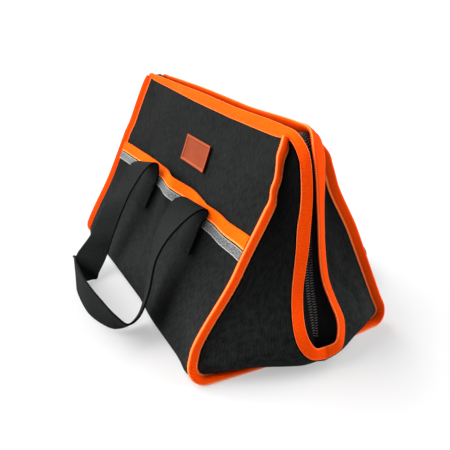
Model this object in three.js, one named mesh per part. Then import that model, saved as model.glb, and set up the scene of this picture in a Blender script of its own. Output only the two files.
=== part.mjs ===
import * as THREE from "three";

// A soft tool bag shaped like a tent, standing on its flat base.
// Millimetres: x runs along the ridge, -y is the front with the pocket, z is up from the floor.

// Walls and base
const BASE_HALF_DEPTH = 103.5;
const RIDGE_HALF_DEPTH = 10.5;
const WALL_TOP = 194.5;
const WALL_HALF_LENGTH = 163.2;
const WALL_CLOTH = 2;
const BOTTOM_EDGE_RADIUS = 5;
const WALL_SAG = 10.2;
const SAG_LEAN = 1.3;
const TOP_CORNER_DROP = 5;
const TOP_CORNER_START_X = 138;
const LEFT_END_RISE = 5;
const RISE_START_X = 60;

// Ends
const END_SEAM_X = 167;
const END_BEND_START_X = 100;
const BASE_BOW = 10;
const GUSSET_CLOTH = 1.6;
const GUSSET_FLOOR_SAG = 4.4;
const GUSSET_UNDER_TAPE = 1.2;

// Orange binding tape, folded over the cloth edges
const END_TAPE_WIDTH = 11;
const END_TAPE_TUCK = 2;
const END_TAPE_THICKNESS = 5;
const END_TAPE_TURN = 0.36 * Math.PI;
const ZIP_EDGE_THICKNESS = 3.4;
const FOLD_FLAT_SHARE = 0.4;
const MOUTH_TAPE_THICKNESS = 3.2;

// Zip
const ZIP_TAPE_CLOTH = 1;
const ZIP_TAPE_OVERLAP = 2.5;
const CHAIN_WIDTH = 6;
const CHAIN_THICKNESS = 3;
const SLIDER_WIDTH = 8;
const SLIDER_SIDE = [
  { x: -197, z: 41 },
  { x: -201.5, z: 40 },
  { x: -201.5, z: 25 },
  { x: -203.5, z: 25 },
  { x: -203.5, z: 50 },
  { x: -198, z: 57 },
  { x: -191.5, z: 56 },
];

// Pocket and what is sewn on the front, measured up the slope from the floor
const POCKET_CLOTH = 1.5;
const POCKET_FOOT = 3.5;
const POCKET_MOUTH = 125;
const MOUTH_TAPE_TOP = 137;
const POCKET_GAPE = 9.5;
const POCKET_GAPE_FOOT = 50;
const POCKET_GAPE_HALF_LENGTH = 48;
const STRIP_FOOT = 114.5;
const STRIP_TOP = 123.5;
const STRIP_CLOTH = 0.8;
const LABEL_CENTRE_X = 8;
const LABEL_FOOT = 152;
const LABEL_LENGTH = 58;
const LABEL_HEIGHT = 29;
const LABEL_CLOTH = 1;

// Handles
const WEBBING_WIDTH = 38;
const WEBBING_THICKNESS = 2;
const HANDLE_HALF_SPAN = 66;
const HANDLE_SEWN_FOOT = 84;
const HANDLE_SEWN_TOP = 119;

const GAP = 0.4;

// Divisions of the sheets and strips
const WALL_COLUMNS = 12;
const WALL_ROWS = 9;
const BASE_ROWS = 3;
const SEAM_ROWS = 12;
const SEAM_BASE_ROWS = 5;
const SLIT_ROWS = 26;
const GUSSET_ROWS = 22;
const GUSSET_COLUMNS = 6;
const POCKET_COLUMNS = 22;
const POCKET_ROWS = 9;
const HANDLE_ROWS_PER_STEP = 2;

// Slope of the walls
const WALL_LEAN = Math.atan((BASE_HALF_DEPTH - RIDGE_HALF_DEPTH) / WALL_TOP);
const WALL_NORMAL = new THREE.Vector3(0, -Math.cos(WALL_LEAN), Math.sin(WALL_LEAN));

// Heights of the tops of the end seams
const END_SEAM_TOP = { frontRight: 188, frontLeft: 184, back: 184 };

// How far each front seam stands out (+) or in (-) from the straight slope
const RIGHT_FRONT_BEND = [
  { z: 0, out: 9.5 },
  { z: 30, out: 9.5 },
  { z: 92, out: -1.2 },
  { z: 146, out: -4.6 },
  { z: 164, out: -1 },
  { z: 196, out: 5.5 },
];
const LEFT_FRONT_BEND = [
  { z: 0, out: 6.5 },
  { z: 20, out: 5.5 },
  { z: 85, out: 0 },
  { z: 196, out: 0 },
];

// How far the pocket's mouth sinks down the slope, from the left end to the right
const MOUTH_DROP = [
  { x: -163.2, drop: 0.8 },
  { x: -105, drop: 2.2 },
  { x: -40, drop: 4.2 },
  { x: 30, drop: 4.8 },
  { x: 70, drop: 7.5 },
  { x: 118, drop: 10 },
  { x: 163.2, drop: 5.5 },
];

// Binding round the zip opening, one quarter of it: from the middle of the ridge to the foot of the right slit.
// root is where the tape meets the cloth, fold is its free edge, chain is the coil behind it.
const ZIP_EDGE = [
  { rootX: 0, rootY: 11, rootZ: 195.6, foldX: 0, foldY: 6.5, foldZ: 206, chainX: 0, chainZ: 192.5 },
  { rootX: 70, rootY: 11, rootZ: 195.6, foldX: 70, foldY: 6.5, foldZ: 206, chainX: 70, chainZ: 192.5 },
  { rootX: 142, rootY: 12, rootZ: 196.3, foldX: 143, foldY: 7.2, foldZ: 206.4, chainX: 140, chainZ: 194 },
  { rootX: 163, rootY: 11.8, rootZ: 196.4, foldX: 166.5, foldY: 7.2, foldZ: 204, chainX: 161, chainZ: 197 },
  { rootX: 174.4, rootY: 11.6, rootZ: 185.6, foldX: 178, foldY: 4.2, foldZ: 191.8, chainX: 172, chainZ: 186.5 },
  { rootX: 179, rootY: 11.6, rootZ: 169, foldX: 181.8, foldY: 2.4, foldZ: 172.4, chainX: 174, chainZ: 169.5 },
  { rootX: 181.8, rootY: 12.2, rootZ: 149.3, foldX: 184.6, foldY: 2.6, foldZ: 151, chainX: 176, chainZ: 149 },
  { rootX: 182.2, rootY: 14, rootZ: 129, foldX: 186.4, foldY: 3.9, foldZ: 130, chainX: 177, chainZ: 129 },
  { rootX: 183.2, rootY: 15.2, rootZ: 109, foldX: 187.6, foldY: 5.3, foldZ: 110, chainX: 178.5, chainZ: 109 },
  { rootX: 184.8, rootY: 17.4, rootZ: 90, foldX: 188.4, foldY: 7.6, foldZ: 91, chainX: 180.5, chainZ: 90 },
  { rootX: 187.5, rootY: 20.2, rootZ: 73, foldX: 190.6, foldY: 10.6, foldZ: 75, chainX: 183.5, chainZ: 74 },
  { rootX: 194, rootY: 23.6, rootZ: 57, foldX: 197, foldY: 14.2, foldZ: 60, chainX: 188, chainZ: 59 },
  { rootX: 202.5, rootY: 26, rootZ: 42, foldX: 205.2, foldY: 16.6, foldZ: 46.5, chainX: 192.5, chainZ: 46 },
  { rootX: 207.5, rootY: 24.4, rootZ: 29, foldX: 209.4, foldY: 15, foldZ: 35, chainX: 195.5, chainZ: 35 },
  { rootX: 210.5, rootY: 17, rootZ: 17, foldX: 210, foldY: 10, foldZ: 25.2, chainX: 197.5, chainZ: 25 },
  { rootX: 209, rootY: 0, rootZ: 9.8, foldX: 207, foldY: 0, foldZ: 21, chainX: 199, chainZ: 17 },
];
const SLIT_TOP_ROW = 4;

// How far the end cloth bows out (+) or in (-) between its seam and the zip, from its top (0) to its foot (1)
const GUSSET_BOW = [
  { along: 0, bow: 0 },
  { along: 0.2, bow: -3 },
  { along: 0.4, bow: -2 },
  { along: 0.6, bow: 3 },
  { along: 0.8, bow: 3 },
  { along: 1, bow: 0 },
];

// Free loop of the front handle, left to right: middle of the webbing and the direction across it
const HANDLE_LOOP = [
  { x: -66, y: -50, z: 115.2, acrossX: 1, acrossY: 0.03, acrossZ: 0.05 },
  { x: -66, y: -54.6, z: 122.2, acrossX: 1, acrossY: 0.12, acrossZ: 0.06 },
  { x: -66, y: -63, z: 123.8, acrossX: 1, acrossY: 0.2, acrossZ: 0.1 },
  { x: -66, y: -71.3, z: 117.2, acrossX: 1, acrossY: 0.2, acrossZ: 0.16 },
  { x: -66, y: -84, z: 97, acrossX: 0.96, acrossY: 0.16, acrossZ: 0.22 },
  { x: -70, y: -98.5, z: 71.5, acrossX: 0.91, acrossY: 0.34, acrossZ: 0.21 },
  { x: -73.5, y: -112, z: 42.6, acrossX: 0.86, acrossY: 0.46, acrossZ: 0.23 },
  { x: -75, y: -124.7, z: 20.8, acrossX: 0.77, acrossY: 0.64, acrossZ: 0.02 },
  { x: -63, y: -136, z: 13.4, acrossX: 0.83, acrossY: 0.48, acrossZ: -0.28 },
  { x: -44, y: -146, z: 18.6, acrossX: -0.12, acrossY: 0.44, acrossZ: -0.89 },
  { x: -35, y: -154.4, z: 20, acrossX: -0.34, acrossY: 0.08, acrossZ: -0.94 },
  { x: -12, y: -157.6, z: 20.6, acrossX: -0.05, acrossY: -0.03, acrossZ: -1 },
  { x: 25, y: -158, z: 20.2, acrossX: -0.06, acrossY: 0, acrossZ: -1 },
  { x: 60, y: -152, z: 19.3, acrossX: -0.35, acrossY: 0.1, acrossZ: -0.93 },
  { x: 78, y: -145, z: 17, acrossX: -0.62, acrossY: 0.15, acrossZ: -0.77 },
  { x: 84, y: -135, z: 14.5, acrossX: -0.8, acrossY: 0.25, acrossZ: -0.55 },
  { x: 80, y: -123, z: 18, acrossX: -0.84, acrossY: 0.26, acrossZ: -0.47 },
  { x: 75, y: -111, z: 38, acrossX: -0.87, acrossY: 0.22, acrossZ: -0.43 },
  { x: 68, y: -101, z: 66, acrossX: -0.88, acrossY: 0.18, acrossZ: -0.42 },
  { x: 67, y: -91.3, z: 91.5, acrossX: -0.96, acrossY: 0.06, acrossZ: -0.24 },
  { x: 68, y: -77.6, z: 109, acrossX: -0.98, acrossY: -0.12, acrossZ: -0.1 },
  { x: 68, y: -66.4, z: 117.6, acrossX: -0.98, acrossY: -0.2, acrossZ: 0.02 },
  { x: 68, y: -57.4, z: 117.2, acrossX: -1, acrossY: -0.14, acrossZ: 0.02 },
  { x: 67, y: -52.4, z: 110.2, acrossX: -1, acrossY: -0.05, acrossZ: 0 },
];

// Finishes
const CLOTH = { color: 0x2b2d2d, roughness: 0.85, metalness: 0 };
const ORANGE = { color: 0xf06a14, roughness: 0.75, metalness: 0 };
const WEBBING = { color: 0x33373a, roughness: 0.8, metalness: 0 };
const SILVER = { color: 0xa8adad, roughness: 0.45, metalness: 0.2 };
const ZIP_BLACK = { color: 0x161616, roughness: 0.6, metalness: 0 };
const LABEL = { color: 0xdc6a40, roughness: 0.6, metalness: 0 };

const { clamp, lerp, smoothstep } = THREE.MathUtils;
const point = (x, y, z) => new THREE.Vector3(x, y, z);
const steps = (count) => Array.from({ length: count + 1 }, (_, i) => i / count);
const mirrored = (p, sideX, sideY) => point(p.x * sideX, p.y * sideY, p.z);

const bag = new THREE.Group();

function addPiece(name, geometry, finish) {
  const mesh = new THREE.Mesh(geometry, new THREE.MeshStandardMaterial(finish));
  mesh.name = name;
  bag.add(mesh);
}

// The ridge rises a little towards the left end
function settled(p) {
  const towardsLeft = clamp((RISE_START_X - p.x) / (RISE_START_X + WALL_HALF_LENGTH), 0, 1);
  return point(p.x, p.y, p.z + LEFT_END_RISE * towardsLeft * (p.z / WALL_TOP) ** 3);
}

// Closed geometry from shared points and triangles, turned so that its faces point out
function closedGeometry(points, triangles) {
  const volume = triangles.reduce((sum, [a, b, c]) => {
    const across = points[b].clone().cross(points[c]);
    return sum + points[a].dot(across) / 6;
  }, 0);
  const turned = volume < 0 ? triangles.map(([a, b, c]) => [a, c, b]) : triangles;
  const geometry = new THREE.BufferGeometry().setFromPoints(points.map(settled));
  geometry.setIndex(turned.flat());
  geometry.computeVertexNormals();
  return geometry;
}

// Sheet of cloth of even thickness about a grid of points on its middle surface
function clothSheet(grid, thickness) {
  const rows = grid.length;
  const columns = grid[0].length;
  const normalAt = (i, j) => {
    const alongRow = grid[i][Math.min(j + 1, columns - 1)].clone().sub(grid[i][Math.max(j - 1, 0)]);
    const alongColumn = grid[Math.min(i + 1, rows - 1)][j].clone().sub(grid[Math.max(i - 1, 0)][j]);
    return alongRow.cross(alongColumn).normalize();
  };
  const points = [];
  for (const side of [1, -1]) {
    grid.forEach((row, i) => row.forEach((p, j) => {
      points.push(p.clone().addScaledVector(normalAt(i, j), (side * thickness) / 2));
    }));
  }
  const front = (i, j) => i * columns + j;
  const back = (i, j) => rows * columns + front(i, j);
  const triangles = [];
  const quad = (a, b, c, d) => triangles.push([a, b, c], [a, c, d]);
  for (let i = 0; i + 1 < rows; i += 1) {
    for (let j = 0; j + 1 < columns; j += 1) {
      quad(front(i, j), front(i, j + 1), front(i + 1, j + 1), front(i + 1, j));
      quad(back(i, j), back(i + 1, j), back(i + 1, j + 1), back(i, j + 1));
    }
    quad(front(i, 0), front(i + 1, 0), back(i + 1, 0), back(i, 0));
    quad(front(i, columns - 1), back(i, columns - 1), back(i + 1, columns - 1), front(i + 1, columns - 1));
  }
  for (let j = 0; j + 1 < columns; j += 1) {
    quad(front(0, j), back(0, j), back(0, j + 1), front(0, j + 1));
    quad(front(rows - 1, j), front(rows - 1, j + 1), back(rows - 1, j + 1), back(rows - 1, j));
  }
  return closedGeometry(points, triangles);
}

// Strip that joins a run of outlines, each with the same number of points
function strip(outlines, isLoop) {
  const count = outlines[0].length;
  const last = isLoop ? outlines.length : outlines.length - 1;
  const index = (i, k) => (i % outlines.length) * count + (k % count);
  const triangles = [];
  for (let i = 0; i < last; i += 1) {
    for (let k = 0; k < count; k += 1) {
      triangles.push([index(i, k), index(i, k + 1), index(i + 1, k + 1)]);
      triangles.push([index(i, k), index(i + 1, k + 1), index(i + 1, k)]);
    }
  }
  if (!isLoop) {
    for (let k = 1; k + 1 < count; k += 1) {
      triangles.push([index(0, 0), index(0, k + 1), index(0, k)]);
      triangles.push([index(last, 0), index(last, k), index(last, k + 1)]);
    }
  }
  return closedGeometry(outlines.flat(), triangles);
}

// Outline of a folded tape: square at its root and rounded at its fold
function tapeOutline(root, fold, normal, thickness) {
  const across = fold.clone().sub(root).normalize();
  const half = thickness / 2;
  const at = (base, back, out) => base.clone().addScaledVector(across, -back).addScaledVector(normal, out);
  return [
    at(root, 0, half),
    at(fold, half, half),
    at(fold, 0, half * FOLD_FLAT_SHARE),
    at(fold, 0, -half * FOLD_FLAT_SHARE),
    at(fold, half, -half),
    at(root, 0, -half),
  ];
}

// Value of a table's column at a place between its rows
function tableValue(table, key, column, place) {
  const next = Math.max(table.findIndex((row) => row[key] >= place), 1);
  const low = table[next - 1];
  const high = table[next];
  const share = smoothstep(place, low[key], high[key]);
  return lerp(low[column], high[column], share);
}

// Half depth of the tent at a place on its front or back wall: straight, with a sag between the ends
function wallHalfDepth(side, x, z) {
  const straight = lerp(BASE_HALF_DEPTH, RIDGE_HALF_DEPTH, z / WALL_TOP);
  const between = Math.max(1 - (x / WALL_HALF_LENGTH) ** 2, 0);
  const sag = WALL_SAG * between * Math.sin(Math.PI * clamp(z / WALL_TOP, 0, 1) ** SAG_LEAN);
  if (side === "back") return straight - sag;
  const bends = x > 0 ? RIGHT_FRONT_BEND : LEFT_FRONT_BEND;
  const bend = smoothstep(Math.abs(x), END_BEND_START_X, END_SEAM_X) * tableValue(bends, "z", "out", z);
  return straight - sag + bend;
}

// Half of the tent's outline at x, laid out on the front, from the top down to the middle of the base.
// Each point has its outward direction across the cloth and its place round the bottom edge, 0 on the base.
function halfOutline(side, x, top, floor, slopeSteps, baseSteps) {
  const turn = Math.PI / 2 + WALL_LEAN;
  const arcZ = floor + BOTTOM_EDGE_RADIUS;
  const arcTop = arcZ + BOTTOM_EDGE_RADIUS * Math.sin(WALL_LEAN);
  const arcY = BOTTOM_EDGE_RADIUS * Math.cos(WALL_LEAN) - wallHalfDepth(side, x, arcTop);
  const slope = steps(slopeSteps).map((t) => {
    const z = lerp(top, arcTop, t);
    return { p: point(x, -wallHalfDepth(side, x, z), z), out: WALL_NORMAL.clone(), round: 1 };
  });
  const arc = [0.75, 0.5, 0.25].map((round) => {
    const out = point(0, -Math.sin(round * turn), -Math.cos(round * turn));
    const p = point(x, arcY, arcZ).addScaledVector(out, BOTTOM_EDGE_RADIUS);
    return { p, out, round };
  });
  const bow = Math.sign(x) * BASE_BOW * smoothstep(Math.abs(x), END_BEND_START_X, END_SEAM_X);
  const base = steps(baseSteps).map((t) => (
    { p: point(x + bow * t * (2 - t), arcY * (1 - t), floor), out: point(0, 0, -1), round: 0 }));
  return [...slope, ...arc, ...base];
}

// Point on the front wall, up the slope from the floor and lifted off the middle of the cloth
function onFrontWall(x, up, lift) {
  const z = up * Math.cos(WALL_LEAN);
  return point(x, -wallHalfDepth("front", x, z), z).addScaledVector(WALL_NORMAL, lift);
}

// Place up the slope once the pocket's mouth has sunk
function sunk(x, up) {
  return up - tableValue(MOUTH_DROP, "x", "drop", x) * clamp(up / POCKET_MOUTH, 0, 1);
}

// Front wall, base and back wall in one sheet
function bodyWrap() {
  const columns = steps(WALL_COLUMNS).map((t) => WALL_HALF_LENGTH * (2 * t - 1));
  const sections = columns.map((x) => {
    const top = WALL_TOP - TOP_CORNER_DROP * smoothstep(Math.abs(x), TOP_CORNER_START_X, WALL_HALF_LENGTH);
    const [front, back] = ["front", "back"].map((side) => (
      halfOutline(side, x, top, WALL_CLOTH / 2, WALL_ROWS, BASE_ROWS).map(({ p }) => p)));
    return [...front, ...back.slice(0, -1).reverse().map((p) => mirrored(p, 1, -1))];
  });
  addPiece("body_wrap", clothSheet(sections, WALL_CLOTH), CLOTH);
}

// Seam round one half of an end: where its tape starts, which way the tape stands and which way is in
function endSeam(side, sideX) {
  const frontTop = sideX > 0 ? END_SEAM_TOP.frontRight : END_SEAM_TOP.frontLeft;
  const top = side === "front" ? frontTop : END_SEAM_TOP.back;
  const outline = halfOutline(side, sideX * END_SEAM_X, top, END_TAPE_THICKNESS / 2, SEAM_ROWS, SEAM_BASE_ROWS);
  return outline.map(({ p, out, round }) => {
    const turned = END_TAPE_TURN * smoothstep(round, 0, 1);
    const stand = point(sideX * Math.cos(turned), 0, 0).addScaledVector(out, Math.sin(turned));
    const inward = point(sideX * Math.sin(turned), 0, 0).addScaledVector(out, -Math.cos(turned));
    return { p, stand, inward };
  });
}

// Front half of an end's run of rows and its back half, turned over to the back, in one run
function frontToBack(half) {
  const back = half("back").map((row) => row.map((p) => mirrored(p, 1, -1)));
  return [...half("front"), ...back.reverse().slice(1)];
}

function endBinding(name, sideX) {
  const outlines = frontToBack((side) => endSeam(side, sideX).map(({ p, stand, inward }) => {
    const root = p.clone().addScaledVector(stand, -END_TAPE_TUCK);
    const fold = p.clone().addScaledVector(stand, END_TAPE_WIDTH - END_TAPE_TUCK);
    return tapeOutline(root, fold, inward, END_TAPE_THICKNESS);
  }));
  addPiece(name, strip(outlines, false), ORANGE);
}

// Smooth runs through the columns of the zip edge table, for the front right quarter
const zipRun = (x, y, z) => new THREE.CatmullRomCurve3(
  ZIP_EDGE.map((row) => point(row[x], y ? -row[y] : 0, row[z])), false, "centripetal");
const ZIP_ROOT = zipRun("rootX", "rootY", "rootZ");
const ZIP_FOLD = zipRun("foldX", "foldY", "foldZ");
const ZIP_CHAIN = zipRun("chainX", null, "chainZ");

// Section of the zip edge at t: 0 at the middle of the ridge, 1 at the foot of the slit
function zipSection(t) {
  const root = ZIP_ROOT.getPoint(t);
  const fold = ZIP_FOLD.getPoint(t);
  const across = fold.clone().sub(root).normalize();
  const along = ZIP_ROOT.getTangent(t);
  if (t === 0) along.set(1, 0, 0);
  if (t === 1) along.set(0, 1, 0);
  const inward = across.clone().cross(along).normalize();
  return { root, fold, across, inward, chain: ZIP_CHAIN.getPoint(t) };
}

const RIDGE_STEPS = [0, 0.5, 1, 1.5];
const SLIT_STEPS = steps(SLIT_ROWS).map((t) => lerp(2, ZIP_EDGE.length - 1, t));
const ZIP_STATIONS = [...RIDGE_STEPS, ...SLIT_STEPS].map((row) => row / (ZIP_EDGE.length - 1));

function zipBinding() {
  const quarter = ZIP_STATIONS.map((t) => {
    const { root, fold, inward } = zipSection(t);
    return tapeOutline(root, fold, inward, ZIP_EDGE_THICKNESS);
  });
  const turned = (sideX, sideY) => quarter.map((outline) => outline.map((p) => mirrored(p, sideX, sideY)));
  const loop = [
    ...turned(1, 1).slice(0, -1),
    ...turned(1, -1).reverse().slice(0, -1),
    ...turned(-1, -1).slice(0, -1),
    ...turned(-1, 1).reverse().slice(0, -1),
  ];
  addPiece("zip_binding", strip(loop, true), ORANGE);
}

// Zip tape from behind the binding to the chain, down to just above the foot of the slit
function zipTape(name, sideY) {
  const stations = ZIP_STATIONS.slice(0, -1);
  const half = stations.map((t) => {
    const { root, across, inward, chain } = zipSection(t);
    const reach = ZIP_EDGE_THICKNESS / 2 + 2 * GAP + ZIP_TAPE_CLOTH / 2;
    const outer = root.clone().addScaledVector(inward, reach).addScaledVector(across, ZIP_TAPE_OVERLAP);
    const inner = chain.clone().setY(-CHAIN_WIDTH / 2 - 2 * GAP);
    return [outer, outer.clone().lerp(inner, 0.5), inner].map((p) => mirrored(p, 1, sideY));
  });
  const left = half.slice(1).reverse().map((row) => row.map((p) => mirrored(p, -1, 1)));
  addPiece(name, clothSheet([...left, ...half], ZIP_TAPE_CLOTH), ZIP_BLACK);
}

function zipChain() {
  const half = ZIP_STATIONS.slice(0, -2).map((t) => {
    const { chain } = zipSection(t);
    const along = t === 0 ? point(1, 0, 0) : ZIP_CHAIN.getTangent(t);
    const out = point(-along.z, 0, along.x).multiplyScalar(CHAIN_THICKNESS / 2);
    const side = point(0, CHAIN_WIDTH / 2, 0);
    return [
      chain.clone().add(out).sub(side),
      chain.clone().add(out).add(side),
      chain.clone().sub(out).add(side),
      chain.clone().sub(out).sub(side),
    ];
  });
  const left = half.slice(1).reverse().map((outline) => outline.map((p) => mirrored(p, -1, 1)));
  addPiece("zip_chain", strip([...left, ...half], false), ZIP_BLACK);
}

// Slider body and hanging pull tab in one side view, at the foot of the left slit
function zipSlider() {
  const side = new THREE.Shape(SLIDER_SIDE.map(({ x, z }) => new THREE.Vector2(x, z)));
  const geometry = new THREE.ExtrudeGeometry(side, { depth: SLIDER_WIDTH, bevelEnabled: false });
  geometry.rotateX(Math.PI / 2);
  geometry.translate(0, SLIDER_WIDTH / 2, 0);
  addPiece("zip_slider", geometry, ZIP_BLACK);
}

// End cloth: a horseshoe between the end seam and the zip slit, slack where it reaches the floor
function endGusset(name, sideX) {
  const footWarp = 1.65;
  const seamStart = 0.02;
  const slitStart = (SLIT_TOP_ROW + 0.2) / (ZIP_EDGE.length - 1);
  const offSeam = END_TAPE_THICKNESS / 2 + 1.5 * GAP + GUSSET_CLOTH / 2;
  const slitRun = new THREE.CatmullRomCurve3(
    steps(GUSSET_ROWS).map((t) => {
      const { root, across } = zipSection(lerp(slitStart, 1, t));
      return mirrored(root.addScaledVector(across, -GUSSET_UNDER_TAPE), sideX, 1);
    }),
    false, "centripetal");
  const half = (side) => {
    const seamRun = new THREE.CatmullRomCurve3(
      endSeam(side, sideX).map(({ p, stand, inward }) => (
        p.clone().addScaledVector(inward, offSeam).addScaledVector(stand, -GUSSET_UNDER_TAPE))),
      false, "centripetal");
    return steps(GUSSET_ROWS).map((along) => {
      const outer = seamRun.getPointAt(lerp(seamStart, 1, along));
      const inner = slitRun.getPointAt(1 - (1 - along) ** footWarp);
      const bow = sideX * tableValue(GUSSET_BOW, "along", "bow", along);
      const onFloor = smoothstep(along, 0.7, 0.9);
      return steps(GUSSET_COLUMNS).map((across) => {
        const p = outer.clone().lerp(inner, across);
        const slack = smoothstep(across, 0.25, 0.55) * (1 - smoothstep(across, 0.7, 0.98));
        p.x += bow * Math.sin(Math.PI * across);
        p.z -= GUSSET_FLOOR_SAG * onFloor * slack;
        return p;
      });
    });
  };
  addPiece(name, clothSheet(frontToBack(half), GUSSET_CLOTH), CLOTH);
}

// Middle of the pocket cloth: close to the wall at its sides, foot and handles, gaping between the handles
function onPocket(x, up, lift) {
  const mouth = smoothstep(up, POCKET_GAPE_FOOT, POCKET_MOUTH);
  const between = Math.cos((Math.PI / 2) * clamp(x / POCKET_GAPE_HALF_LENGTH, -1, 1)) ** 2;
  const offWall = WALL_CLOTH / 2 + 2 * GAP + POCKET_CLOTH / 2;
  return onFrontWall(x, sunk(x, up), offWall + POCKET_GAPE * mouth * between + lift);
}

const FRONT_COLUMNS = steps(POCKET_COLUMNS).map((t) => (WALL_HALF_LENGTH - GAP) * (2 * t - 1));

function frontPocket() {
  const rows = steps(POCKET_ROWS).map((t) => lerp(POCKET_FOOT, POCKET_MOUTH - GAP, t));
  const grid = rows.map((up) => FRONT_COLUMNS.map((x) => onPocket(x, up, 0)));
  addPiece("front_pocket", clothSheet(grid, POCKET_CLOTH), CLOTH);
}

function pocketBinding() {
  const lift = (MOUTH_TAPE_THICKNESS - POCKET_CLOTH) / 2;
  const outlines = FRONT_COLUMNS.map((x) => {
    const root = onPocket(x, POCKET_MOUTH, lift);
    const fold = onPocket(x, MOUTH_TAPE_TOP, lift);
    return tapeOutline(root, fold, WALL_NORMAL, MOUTH_TAPE_THICKNESS);
  });
  addPiece("pocket_binding", strip(outlines, false), ORANGE);
}

function reflectiveStrip() {
  const lift = POCKET_CLOTH / 2 + GAP + STRIP_CLOTH / 2;
  const grid = [STRIP_FOOT, STRIP_TOP].map((up) => FRONT_COLUMNS.map((x) => onPocket(x, up, lift)));
  addPiece("reflective_strip", clothSheet(grid, STRIP_CLOTH), SILVER);
}

function labelPatch() {
  const lift = WALL_CLOTH / 2 + 2 * GAP + LABEL_CLOTH / 2;
  const rows = steps(2).map((t) => LABEL_FOOT + LABEL_HEIGHT * t);
  const columns = steps(4).map((t) => LABEL_CENTRE_X + LABEL_LENGTH * (t - 0.5));
  const grid = rows.map((up) => columns.map((x) => onFrontWall(x, up, lift)));
  addPiece("label_patch", clothSheet(grid, LABEL_CLOTH), LABEL);
}

// Webbing handle: sewn flat at both ends, with its loop fallen forward on to the floor
function handle(name, sideY, sewnLift) {
  const sewn = (x, sideX) => steps(2).map((t) => {
    const up = lerp(HANDLE_SEWN_FOOT, HANDLE_SEWN_TOP, t);
    const edges = [-1, 1].map((side) => {
      const edgeX = x + (side * sideX * WEBBING_WIDTH) / 2;
      return onFrontWall(edgeX, sunk(edgeX, up), sewnLift);
    });
    return { p: edges[0].clone().lerp(edges[1], 0.5), across: edges[1].sub(edges[0]).normalize() };
  });
  const loop = HANDLE_LOOP.map((row) => ({
    p: point(row.x, row.y, row.z),
    across: point(row.acrossX, row.acrossY, row.acrossZ).normalize(),
  }));
  const stations = [...sewn(-HANDLE_HALF_SPAN, 1), ...loop, ...sewn(HANDLE_HALF_SPAN, -1).reverse()];
  const middle = new THREE.CatmullRomCurve3(stations.map(({ p }) => p), false, "centripetal");
  const acrossRun = new THREE.CatmullRomCurve3(stations.map(({ across }) => across), false, "catmullrom");
  const grid = steps((stations.length - 1) * HANDLE_ROWS_PER_STEP).map((t) => {
    const half = acrossRun.getPoint(t).normalize().multiplyScalar(WEBBING_WIDTH / 2);
    const p = middle.getPoint(t);
    return [p.clone().sub(half), p, p.clone().add(half)].map((q) => mirrored(q, 1, sideY));
  });
  addPiece(name, clothSheet(grid, WEBBING_THICKNESS), WEBBING);
}

bodyWrap();
endGusset("end_gusset_right", 1);
endGusset("end_gusset_left", -1);
endBinding("end_binding_right", 1);
endBinding("end_binding_left", -1);
zipBinding();
zipTape("zip_tape_front", 1);
zipTape("zip_tape_back", -1);
zipChain();
zipSlider();
frontPocket();
pocketBinding();
reflectiveStrip();
labelPatch();

const onWall = WALL_CLOTH / 2 + 3 * GAP + WEBBING_THICKNESS / 2;
handle("handle_front", 1, onWall + POCKET_CLOTH + STRIP_CLOTH + 3 * GAP);
handle("handle_back", -1, onWall);

export default bag;
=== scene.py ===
import math
from functools import cache

import bpy
from mathutils import Matrix, Vector, noise


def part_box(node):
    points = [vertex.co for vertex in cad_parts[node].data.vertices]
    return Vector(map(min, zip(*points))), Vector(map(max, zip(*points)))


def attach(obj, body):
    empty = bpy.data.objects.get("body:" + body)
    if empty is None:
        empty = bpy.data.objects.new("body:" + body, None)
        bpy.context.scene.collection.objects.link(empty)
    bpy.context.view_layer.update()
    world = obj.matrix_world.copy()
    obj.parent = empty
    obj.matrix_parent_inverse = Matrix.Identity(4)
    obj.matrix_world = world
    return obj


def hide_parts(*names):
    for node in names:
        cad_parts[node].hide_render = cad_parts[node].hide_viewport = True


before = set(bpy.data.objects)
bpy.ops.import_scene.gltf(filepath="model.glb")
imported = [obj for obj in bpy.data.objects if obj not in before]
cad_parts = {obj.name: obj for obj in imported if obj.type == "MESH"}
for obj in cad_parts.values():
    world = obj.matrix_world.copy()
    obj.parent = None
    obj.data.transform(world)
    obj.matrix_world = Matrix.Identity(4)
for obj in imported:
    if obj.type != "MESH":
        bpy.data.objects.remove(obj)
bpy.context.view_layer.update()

# Studio: a plain white floor that glows a little, with white behind it, under a broad main light from the
# front left and a soft one from behind. The camera stands off the right front corner, a little above.
scene = bpy.context.scene
scene.view_settings.view_transform = "Standard"
bpy.ops.object.select_all(action="DESELECT")
bpy.ops.object.camera_add(location=(0.5328, -0.2625, 0.3142))
camera = bpy.context.object
camera.rotation_euler = (math.radians(66.804), 0, math.radians(62.673))
camera.data.lens = 45.07
camera.data.sensor_width = 36
scene.camera = camera

FLOOR_SIZE = 60
FLOOR_DROP = 0.0002
bpy.ops.mesh.primitive_plane_add(size=FLOOR_SIZE, location=(0, 0, -FLOOR_DROP))
floor = bpy.context.object
floor.name = "studio_floor"
floor_paint = bpy.data.materials.new("floor paint")
floor_paint.use_nodes = True
floor_shader = floor_paint.node_tree.nodes["Principled BSDF"]
floor_shader.inputs["Base Color"].default_value = (0.32, 0.32, 0.32, 1)
floor_shader.inputs["Emission Color"].default_value = (1, 1, 1, 1)
floor_shader.inputs["Emission Strength"].default_value = 0.41
floor_shader.inputs["Roughness"].default_value = 0.9
floor_shader.inputs["Specular IOR Level"].default_value = 0.1
floor.data.materials.append(floor_paint)

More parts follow.
